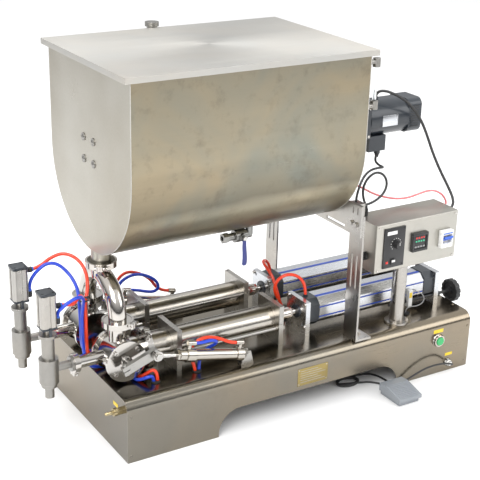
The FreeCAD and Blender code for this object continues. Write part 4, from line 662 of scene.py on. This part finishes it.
def closeTree(tree, out, shape, mat):
    realize = tree.nodes.new("GeometryNodeRealizeInstances")
    paint = tree.nodes.new("GeometryNodeSetMaterial")
    paint.inputs["Material"].default_value = mat
    wire(tree, [(shape, realize.inputs[0]), (realize.outputs[0], paint.inputs["Geometry"]),
                (paint.outputs[0], out.inputs["Geometry"])])


def buildScrews(mat):
    tree, inp, out = nodeTree("socketScrews", [("Head Radius", "NodeSocketFloat", 0.004),
                                               ("Head Height", "NodeSocketFloat", 0.003),
                                               ("Socket Radius", "NodeSocketFloat", 0.002),
                                               ("Facing", "NodeSocketVector", (0, 0, 1))])
    head = tree.nodes.new("GeometryNodeMeshCylinder")
    head.inputs["Vertices"].default_value = 20
    recess = tree.nodes.new("GeometryNodeMeshCylinder")
    recess.inputs["Vertices"].default_value = 6
    drop = tree.nodes.new("GeometryNodeTransform")
    lift = tree.nodes.new("ShaderNodeCombineXYZ")
    cut = tree.nodes.new("GeometryNodeMeshBoolean")
    cut.operation = "DIFFERENCE"
    spread = tree.nodes.new("GeometryNodeInstanceOnPoints")
    turn = tree.nodes.new("FunctionNodeAlignRotationToVector")
    turn.axis = "Z"
    wire(tree, [(inp.outputs["Head Radius"], head.inputs["Radius"]),
                (inp.outputs["Head Height"], head.inputs["Depth"]),
                (inp.outputs["Socket Radius"], recess.inputs["Radius"]),
                (inp.outputs["Head Height"], recess.inputs["Depth"]),
                (mathNode(tree, "MULTIPLY", inp.outputs["Head Height"], 0.45), lift.inputs["Z"]),
                (lift.outputs[0], drop.inputs["Translation"]),
                (recess.outputs["Mesh"], drop.inputs["Geometry"]),
                (head.outputs["Mesh"], cut.inputs["Mesh 1"]), (drop.outputs[0], cut.inputs["Mesh 2"]),
                (inp.outputs["Places"], spread.inputs["Points"]),
                (cut.outputs["Mesh"], spread.inputs["Instance"]),
                (inp.outputs["Facing"], turn.inputs["Vector"]), (turn.outputs[0], spread.inputs["Rotation"])])
    closeTree(tree, out, spread.outputs[0], mat)
    return tree


def buildBars(mat):
    tree, inp, out = nodeTree("barRow", [("Bar Size", "NodeSocketVector", (0.01, 0.001, 0.001)),
                                         ("Tilt", "NodeSocketVector", (0, 0, 0))])
    bar = tree.nodes.new("GeometryNodeMeshCube")
    spread = tree.nodes.new("GeometryNodeInstanceOnPoints")
    wire(tree, [(inp.outputs["Bar Size"], bar.inputs["Size"]),
                (inp.outputs["Places"], spread.inputs["Points"]),
                (bar.outputs["Mesh"], spread.inputs["Instance"]),
                (inp.outputs["Tilt"], spread.inputs["Rotation"])])
    closeTree(tree, out, spread.outputs[0], mat)
    return tree


def buildBead(mat):
    tree, inp, out = nodeTree("weldBead", [("Bead Radius", "NodeSocketFloat", 0.0015),
                                           ("Spacing", "NodeSocketFloat", 0.0022)])
    line = tree.nodes.new("GeometryNodeMeshToCurve")
    even = tree.nodes.new("GeometryNodeResampleCurve")
    even.mode = "LENGTH"
    drop = tree.nodes.new("GeometryNodeMeshIcoSphere")
    drop.inputs["Subdivisions"].default_value = 2
    spread = tree.nodes.new("GeometryNodeInstanceOnPoints")
    wire(tree, [(inp.outputs["Places"], line.inputs[0]), (line.outputs[0], even.inputs["Curve"]),
                (inp.outputs["Spacing"], even.inputs["Length"]),
                (inp.outputs["Bead Radius"], drop.inputs["Radius"]),
                (even.outputs[0], spread.inputs["Points"]),
                (drop.outputs["Mesh"], spread.inputs["Instance"])])
    closeTree(tree, out, spread.outputs[0], mat)
    return tree


def growPiece(name, tree, points, values, body, edges=()):
    mesh = bpy.data.meshes.new(name)
    mesh.from_pydata([mm(*p) for p in points], list(edges), [])
    obj = bpy.data.objects.new(name, mesh)
    bpy.context.scene.collection.objects.link(obj)
    grower = obj.modifiers.new("grower", "NODES")
    grower.node_group = tree
    sockets = {item.name: item.identifier for item in tree.interface.items_tree if item.in_out == "INPUT"}
    for label, value in values.items():
        grower[sockets[label]] = value
    grown = bpy.data.meshes.new_from_object(obj.evaluated_get(bpy.context.evaluated_depsgraph_get()))
    obj.modifiers.remove(grower)
    obj.data = grown
    grown.name = name
    for polygon in grown.polygons:
        polygon.use_smooth = True
    grown.set_sharp_from_angle(angle=math.radians(35))
    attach(obj, body)
    return obj


def screwSizes(radius, height, socket, facing):
    return {"Head Radius": radius, "Head Height": height, "Socket Radius": socket, "Facing": facing}


steelScrews = buildScrews(polishedTube)
blackScrews = buildScrews(blackPlastic)
blackBars = buildBars(blackPlastic)
greyBars = buildBars(greyPedal)
steelBead = buildBead(lidSteel)
print("node trees ready")

# nozzle actuators: grooved aluminium profile, end caps, black elbows with blue collars
actuator = {"x": -628.0, "side": 82.0, "low": 312.0, "high": 400.0, "half": 18.0, "corner": 7.0,
            "groove": 3.2, "grooveDeep": 2.2,
            "foot": 6.0, "crown": 7.0, "screwReach": 12.5, "screwTop": 399.2}


def grooveOutline(a, y):
    flat, groove = a["half"], a["groove"]
    floor, inner = flat - a["grooveDeep"], flat - a["corner"]
    quarter = [(flat, -groove - 6), (flat, -groove), (floor, -groove), (floor, groove), (flat, groove),
               (flat, groove + 2)]
    for k in range(7):
        angle = math.pi / 2 * k / 6
        quarter.append((inner + a["corner"] * math.cos(angle), inner + a["corner"] * math.sin(angle)))
    outline = []
    for turn in range(4):
        c, s = math.cos(turn * math.pi / 2), math.sin(turn * math.pi / 2)
        outline += [(a["x"] + u * c - v * s, y + u * s + v * c) for u, v in quarter]
    return outline


bm = bmesh.new()
x, half, low, high = (actuator[size] for size in ("x", "half", "low", "high"))
barrelLow, barrelHigh = low + actuator["foot"], high - actuator["crown"]
for side in (-1, 1):
    y = side * actuator["side"]
    addPrism(bm, grooveOutline(actuator, y), "z", barrelLow, barrelHigh, 0)
    for capLow, capHigh in ((low, barrelLow), (barrelHigh, high)):
        addBlock(bm, (x - half, y - half, capLow), (x + half, y + half, capHigh), 1, round=2.2, segments=3)
    for reach in (-1, 1):
        leg = y + reach * half
        addBlock(bm, (x - 3, leg - 2, 298.2), (x + 3, leg + 2, low + 4), 1, round=0.5)
    face = x + half
    upper = 360 if side < 0 else 384
    addLathe(bm, (face, y, upper), (1, 0, 0), [(0, 0), (0, 5), (6, 5), (6, 6.5), (14, 6.5), (14, 0)], 24, 2)
    addLathe(bm, (face + 14, y, upper), (1, 0, 0), [(0, 0), (0, 5.4), (3.4, 5.4), (4, 4.8), (4, 0)], 24, 3)
    lower = low + 12
    addLathe(bm, (face, y, lower), (1, 0, 0), [(0, 0), (0, 4.5), (5, 4.5), (9, 5.2), (12.5, 3), (12.5, 0)],
             24, 2)
    addLathe(bm, (face + 7, y, lower - 7), (0, 0, 1), [(0, 0), (0.2, 5), (1.5, 6), (15, 6), (15, 0)], 24, 2)
    addLathe(bm, (face + 7, y, lower + 8), (0, 0, 1), [(0, 0), (0, 5.2), (3.4, 5.2), (4, 4.6), (4, 0)], 24, 3)
finishPiece("nozzle_actuators", bm, [machinedSteel, slatePaint, blackPlastic, collarBlue], "frame",
            ("nozzle_cylinders",))
screwReach = actuator["screwReach"]
growPiece("actuator_screws", steelScrews,
          [(x + u * screwReach, side * actuator["side"] + v * screwReach, actuator["screwTop"])
           for side in (-1, 1) for u in (-1, 1) for v in (-1, 1)],
          screwSizes(0.0026, 0.0016, 0.0012, (0, 0, 1)), "frame")
print("nozzle actuators built")

# air cylinders: blue strips in the barrel grooves, and the plate screws
barrel = {"side": 82, "z": 208, "start": 78, "end": 411, "groove": 31.1, "strip": 2.3, "stripHalf": 1.9,
          "stripZ": (195, 221),
          "topZ": (242.0, 242.5)}
bm = bmesh.new()
for side in (-1, 1):
    y = side * barrel["side"]
    for reach in (-1, 1):
        for z in barrel["stripZ"]:
            inner = y + reach * barrel["groove"]
            outer = inner + reach * barrel["strip"]
            addBlock(bm, (barrel["start"], min(inner, outer), z - barrel["stripHalf"]),
                     (barrel["end"], max(inner, outer), z + barrel["stripHalf"]), 0, round=0.3)
    addBlock(bm, (barrel["start"], y - 15, barrel["topZ"][0]), (barrel["end"], y - 6, barrel["topZ"][1]), 0,
             round=0.15)
finishPiece("barrel_stripes", bm, [stripeBlue], "frame")
growPiece("plate_screws", steelScrews, [(30.6, side * barrel["side"] + u * 36.5, barrel["z"] + v * 30)
                                        for side in (-1, 1) for u in (-1, 1) for v in (-1, 1)],
          screwSizes(0.0044, 0.0042, 0.0022, (-1, 0, 0)), "frame")
growPiece("end_plate_screws", steelScrews, [(459, side * barrel["side"] + u * 27, barrel["z"] + v * 27)
                                            for side in (-1, 1) for u in (-1, 1) for v in (-1, 1)],
          screwSizes(0.0044, 0.0036, 0.0022, (1, 0, 0)), "frame")
print("cylinder trim built")

# operator's panel: speed plate, temperature controller, breaker
panelTrim = {"door": -212, "plateFace": -215, "meterFace": -220, "breakerFace": -226,
             "plate": (188, 338, 252, 441), "knob": (224, 398),
             "meter": (298, 391), "breaker": (380, 386), "scaleMarks": 11, "scaleReach": 15}
door, plateFace, meterFace, breakerFace = (panelTrim[face]
                                           for face in ("door", "plateFace", "meterFace", "breakerFace"))
bm = bmesh.new()
left, low, right, high = panelTrim["plate"]
addBlock(bm, (left, plateFace, low), (right, door, high), 0, round=0.8)
addBlock(bm, (left + 8, -215.5, 424), (left + 38, plateFace, 433), 1,
         round=0.2)                   # blank name strip
addBlock(bm, (left + 8, -215.8, 350), (left + 15, plateFace, 356), 4, round=0.3)                   # lamp
addBlock(bm, (left + 22, -218.5, 346), (left + 36, plateFace, 360), 0, round=0.8)                  # rocker
addBlock(bm, (left + 24, -219.3, 353), (left + 34, -218.4, 358.5), 1, round=0.3)
for k in range(panelTrim["scaleMarks"]):
    angle = math.radians(-45 + 27 * k)
    u, v = -math.cos(angle), math.sin(angle)
    x = panelTrim["knob"][0] + u * panelTrim["scaleReach"]
    z = panelTrim["knob"][1] + v * panelTrim["scaleReach"]
    addLathe(bm, (x, plateFace, z), (0, -1, 0), [(0, 0), (0, 1.1), (0.4, 1.1), (0.4, 0)], 10, 1)
x, z = panelTrim["meter"]
for a, b in (((x - 24, meterFace, z + 17), (x + 24, door, z + 24)),
             ((x - 24, meterFace, z - 24), (x + 24, door, z - 17)),
             ((x - 24, meterFace, z - 17.2), (x - 19, door, z + 17.2)),
             ((x + 19, meterFace, z - 17.2), (x + 24, door, z + 17.2))):
    addBlock(bm, a, b, 0, round=0.8)
addBlock(bm, (x - 19.2, -217.6, z - 17.2), (x + 19.2, door, z + 17.2), 0, round=0.2)
addBlock(bm, (x - 16, -218.0, z + 8), (x + 16, -217.4, z + 15), 5, round=0.1)
for k in range(4):
    addBlock(bm, (x - 14 + 7.6 * k, -218.4, z + 9.4), (x - 9.6 + 7.6 * k, -217.9, z + 13.6), 4, round=0.1)
    addBlock(bm, (x - 14 + 7.6 * k, -218.4, z + 0.4), (x - 9.6 + 7.6 * k, -217.4, z + 4.6), 3, round=0.1)
    addBlock(bm, (x - 16 + 8.4 * k, -219.0, z - 14), (x - 10 + 8.4 * k, -217.4, z - 9.5), 2, round=0.6)
x, z = panelTrim["breaker"]
for a, b in (((x - 18, breakerFace, z + 11), (x + 18, door, z + 22.5)),
             ((x - 18, breakerFace, z - 22.5), (x + 18, door, z - 11)),
             ((x - 18, breakerFace, z - 11.2), (x - 14, door, z + 11.2)),
             ((x + 14, breakerFace, z - 11.2), (x + 18, door, z + 11.2))):
    addBlock(bm, a, b, 1, round=0.9)
addBlock(bm, (x - 14.4, -215.8, z - 11.4), (x + 14.4, door, z + 11.4), 1, round=0.1)
addBlock(bm, (x - 15, -226.3, z + 14), (x + 15, -225.8, z + 17), 6, round=0.1)
addBlock(bm, (x - 0.4, -226.2, z - 22), (x + 0.4, -225.8, z - 11), 2, round=0.1)
finishPiece("panel_controls", bm, [blackPlastic, whitePlastic, greySheath, displayGlow, displayRed,
                                   slatePaint, collarBlue], "frame",
            ("panel_instruments",))
knob = {"x": 224, "y": -216.5, "z": 398, "ribs": 24, "ribReach": 8.9}
bm = bmesh.new()
addBlock(bm, (223.3, -230.6, 398.5), (224.7, -229.9, 406.3), 0, round=0.2)
for k in range(knob["ribs"]):
    angle = 2 * math.pi * k / knob["ribs"]
    rib = (knob["x"] + knob["ribReach"] * math.cos(angle), knob["y"],
           knob["z"] + knob["ribReach"] * math.sin(angle))
    addLathe(bm, rib, (0, -1, 0), [(0, 0), (0, 0.7), (12, 0.6), (12, 0)], 6, 1)
finishPiece("knob_trim", bm, [whitePlastic, blackPlastic], "speed_knob")
growPiece("box_screws", steelScrews, [(x, -212.6, z) for x in (175, 411) for z in (334, 446)],
          screwSizes(0.0028, 0.0016, 0.0012, (0, -1, 0)), "frame")
growPiece("plate_corner_screws", blackScrews, [(x, -215.4, z) for x in (192, 248) for z in (342, 437)],
          screwSizes(0.0022, 0.0012, 0.001, (0, -1, 0)), "frame")
print("operator's panel built")

# base trim: nameplate, yellow labels, button ring
bm = bmesh.new()
addBlock(bm, (-46, -212.8, 76), (42, -211.9, 122), 0, round=0.3)
for k in range(6):    # plain bars in place of printing
    addBlock(bm, (-38, -213.1, 84 + 6 * k), (34 - 11 * (k % 3), -212.7, 85.2 + 6 * k), 1, round=0)
for x in (-42, 38):
    for z in (80, 118):
        addLathe(bm, (x, -212.6, z), (0, -1, 0), [(0, 0), (0, 1.5), (0.5, 1.4), (0.9, 0.8), (1, 0)], 14, 2)
finishPiece("rating_plate", bm, [goldPlate, castSteel, polishedTube], "frame")
bm = bmesh.new()
addBlock(bm, (376, -212.4, 118), (408, -211.9, 128), 0, round=0.15)
addBlock(bm, (-500.4, -164, 118), (-499.9, -140, 127), 0, round=0.15)
addBlock(bm, (422, -212.4, 44), (446, -211.9, 52), 0, round=0.15)
finishPiece("yellow_labels", bm, [labelYellow], "frame")
bm = bmesh.new()
addLathe(bm, (392, -212, 98), (0, -1, 0), [(0, 11.4), (0, 17.5), (1.6, 17.5), (2.6, 16.6), (9.2, 15.6),
                                           (9.8, 14.8), (9.8, 12.2), (8.6, 11.4), (0, 11.4)], 48, 0)
finishPiece("button_ring", bm, [polishedTube], "frame")
print("base trim built")

# cable glands and strain reliefs, tapered and ribbed
boots = [((300, -22, 565), (0, 0, -1), 6.5, 10), ((188, -133, 466), (0, 0, 1), 6.8, 11),
         ((434, -162, 436), (1, 0, 0), 6.8, 10),
         ((434, -140, 436), (1, 0, 0), 6.0, 9), ((133, -112, 536), (1, 0, 0), 6.0, 9)]
bm = bmesh.new()
for at, axis, radius, length in boots:
    profile = [(-1.5, 0), (-1.5, radius)]
    for k in range(3):
        reach = length * k / 3
        size = radius * (1 - 0.13 * k)
        profile += [(reach, size), (reach + 1.6, size), (reach + 2.0, size * 0.86),
                    (reach + length / 3 - 0.2, size * 0.86)]
    profile += [(length, radius * 0.62), (length, 0)]
    addLathe(bm, at, axis, profile, 20, 0)
finishPiece("cable_boots", bm, [blackPlastic], "frame")
bm = bmesh.new()
addLathe(bm, (433, -212, 24), (0, -1, 0), [(0, 0), (0, 9.5), (4, 9.5), (4.4, 8.6), (5, 8.2), (11, 7.2),
                                           (12.6, 5.6), (13.2, 3.4), (13.2, 0)], 24, 0)
addLathe(bm, (240, -221, 5), (0, 1, 0), [(-4, 0), (-4, 5), (1, 4.9), (8, 3.9), (14, 3.2), (14, 0)], 20, 1)
finishPiece("pedal_glands", bm, [whitePlastic, greyPedal], "frame")
print("glands built")

# drain lever: flat bar bent away from the valve, in a blue sleeve
drainLever = {"x": -128.0, "y": -86.0, "top": 436.0, "bottom": 364.0, "wide": 7.0, "thick": 2.2,
              "steps": 18, "sides": 16}
bm = bmesh.new()
rings = []
for k in range(drainLever["steps"] + 1):
    share = k / drainLever["steps"]
    z = drainLever["top"] + (drainLever["bottom"] - drainLever["top"]) * share
    y = drainLever["y"] + 1.6 * math.sin(share * math.pi * 2)
    wide = drainLever["wide"] * (0.72 + 0.28 * share) * (1.0 if 0 < k < drainLever["steps"] else 0.55)
    ring = []
    for j in range(drainLever["sides"]):
        angle = 2 * math.pi * j / drainLever["sides"]
        ring.append(bm.verts.new(spot((drainLever["x"] + wide * math.cos(angle),
                                       y + drainLever["thick"] * math.sin(angle), z))))
    rings.append(ring)
for a, b in zip(rings, rings[1:]):
    for j in range(drainLever["sides"]):
        n = (j + 1) % drainLever["sides"]
        bm.faces.new((a[j], a[n], b[n], b[j]))
bm.faces.new(rings[0])
bm.faces.new(rings[-1])
addLathe(bm, (drainLever["x"], drainLever["y"] + 2, drainLever["top"] - 4), (0, -1, 0),
         [(0, 0), (0, 6.2), (4.4, 6.2), (5.4, 5.2), (5.4, 0)], 6, 1)
finishPiece("drain_lever", bm, [blueSleeve, polishedTube], "drain_handle",
            ("drain_handle",))

# treadle ribs, beads along the hopper's welds, and the tie round the hoses
treadle = {"x": 231, "y": -306, "z": 21.2, "pitch": 5.6, "rise": 13, "run": 57, "ribs": 10}
ribPlaces = [(treadle["x"], treadle["y"] + treadle["pitch"] * k,
              treadle["z"] + treadle["pitch"] * k * treadle["rise"] / treadle["run"])
             for k in range(treadle["ribs"])]
growPiece("treadle_ribs", greyBars, ribPlaces,
          {"Bar Size": (0.058, 0.0022, 0.0016),
           "Tilt": (math.atan2(treadle["rise"], treadle["run"]), 0, 0)}, "pedal_treadle")
trough = {"radius": 208.0, "centre": 648.0, "top": 866.0, "steps": 40,
          "ends": {"left_weld": -482.4, "right_weld": 117.4}}


def troughLine(x, t):
    points = [(x, -t["radius"], t["top"])]
    for k in range(t["steps"] + 1):
        angle = math.pi + math.pi * k / t["steps"]
        points.append((x, t["radius"] * math.cos(angle), t["centre"] + t["radius"] * math.sin(angle)))
    points.append((x, t["radius"], t["top"]))
    return points


for name, x in trough["ends"].items():
    line = troughLine(x, trough)
    growPiece(name, steelBead, line, {"Bead Radius": 0.0011, "Spacing": 0.0016}, "frame",
              edges=[(i, i + 1) for i in range(len(line) - 1)])
bm = bmesh.new()
addLathe(bm, (-517, -27, 333), (0, 0, 1), [(0, 11.5), (0, 13.2), (3.4, 13.2), (3.4, 11.5), (0, 11.5)], 28, 0)
addBlock(bm, (-506, -24, 331.5), (-500, -19, 337.5), 0, round=0.6)
finishPiece("hose_tie", bm, [blackPlastic], "frame")
print("lever, ribs and welds built")

# motor: blank plate, cover slots and gearbox screws
bm = bmesh.new()
addBlock(bm, (292, -47.6, 640), (340, -46.2, 668), 0, round=0.4)
for x in (295, 337):
    addLathe(bm, (x, -47.5, 654), (0, -1, 0), [(0, 0), (0, 1.4), (0.6, 1.2), (0.9, 0)], 12, 0)
finishPiece("motor_plate", bm, [aluminiumProfile], "frame")
growPiece("cover_slots", blackBars, [(397, -43.2, 630 + 6.4 * k) for k in range(9)],
          {"Bar Size": (0.026, 0.0012, 0.0026), "Tilt": (0, 0, 0)},
          "frame")
growPiece("gearbox_screws", steelScrews, [(x, -46, z) for x in (197, 251) for z in (620, 692)],
          screwSizes(0.0036, 0.003, 0.0018, (0, -1, 0)), "frame")

# handwheel: rim grips and a bright centre nut
wheel = {"y": -115, "z": 177, "rim": 506.5, "hub": 518.6, "grips": 12, "gripReach": 30.2}
bm = bmesh.new()
addLathe(bm, (wheel["hub"], wheel["y"], wheel["z"]), (1, 0, 0), [(0, 0), (0, 6.5), (0.5, 6.5), (0.5, 0)], 6,
         0)
for k in range(wheel["grips"]):
    angle = math.pi * (k + 0.5) / 6
    grip = (wheel["rim"], wheel["y"] + wheel["gripReach"] * math.cos(angle),
            wheel["z"] + wheel["gripReach"] * math.sin(angle))
    addLathe(bm, grip, (1, 0, 0), [(0, 0), (0, 1.2), (11, 1.2), (11, 0)], 10, 1)
finishPiece("wheel_trim", bm, [polishedTube, blackPlastic], "handwheel")
bm = bmesh.new()
addBlock(bm, (357.5, -127.3, 190), (366.5, -126.9, 205), 0, round=0.1)
finishPiece("sensor_label", bm, [labelYellow], "stroke_sensor")
print("motor and wheel trim built")

# studio: pale floor, soft light, a room that darkens towards the horizon
studio = {"floorSize": 14.0, "floorDrop": -0.0005, "floorColor": (.93, .93, .93), "low": (.10, .10, .105),
          "high": (1.0, 1.0, 1.0),
          "skyStrength": 1.1}
lamps = {"keyPanel": {"at": (-2.6, -2.4, 3.2), "aim": (0, 0, 0.4), "size": 2.6, "power": 135},
         "fillPanel": {"at": (2.8, -2.8, 2.2), "aim": (0.1, 0, 0.4), "size": 2.2, "power": 45},
         "topPanel": {"at": (0.2, 0.6, 3.6), "aim": (0, 0, 0.5), "size": 2.4, "power": 75}}


def buildStudio(s, lamps):
    mesh = bpy.data.meshes.new("floor")
    half = s["floorSize"] / 2
    corners = [(u * half, v * half, s["floorDrop"]) for u, v in ((-1, -1), (1, -1), (1, 1), (-1, 1))]
    mesh.from_pydata(corners, [], [(0, 1, 2, 3)])
    floor = bpy.data.objects.new("floor", mesh)
    bpy.context.scene.collection.objects.link(floor)
    mat, tree, shader = blankMaterial("floorPaper")
    shader.inputs["Base Color"].default_value = opaque(s["floorColor"])
    shader.inputs["Roughness"].default_value = 0.85
    mesh.materials.append(mat)
    world = bpy.data.worlds.new("softRoom")
    world.use_nodes = True
    tree = world.node_tree
    look = tree.nodes.new("ShaderNodeTexCoord")
    parts = tree.nodes.new("ShaderNodeSeparateXYZ")
    fade = rangeNode(tree, {"From Min": 0.02, "From Max": 0.55})
    seen = tree.nodes.new("ShaderNodeLightPath")
    wire(tree, [(look.outputs["Generated"], parts.inputs[0]), (parts.outputs["Z"], fade.inputs["Value"])])
    room = mixColor(tree, fade.outputs["Result"], opaque(s["low"]), opaque(s["high"]))
    tree.links.new(mixColor(tree, seen.outputs["Is Camera Ray"], room, opaque(s["high"])),
                   tree.nodes["Background"].inputs["Color"])
    tree.nodes["Background"].inputs["Strength"].default_value = s["skyStrength"]
    bpy.context.scene.world = world
    for name, lamp in lamps.items():
        data = bpy.data.lights.new(name, "AREA")
        data.size = lamp["size"]
        data.energy = lamp["power"]
        panel = bpy.data.objects.new(name, data)
        panel.location = lamp["at"]
        panel.rotation_euler = (Vector(lamp["aim"]) - Vector(lamp["at"])).to_track_quat("-Z", "Y").to_euler()
        bpy.context.scene.collection.objects.link(panel)


buildStudio(studio, lamps)
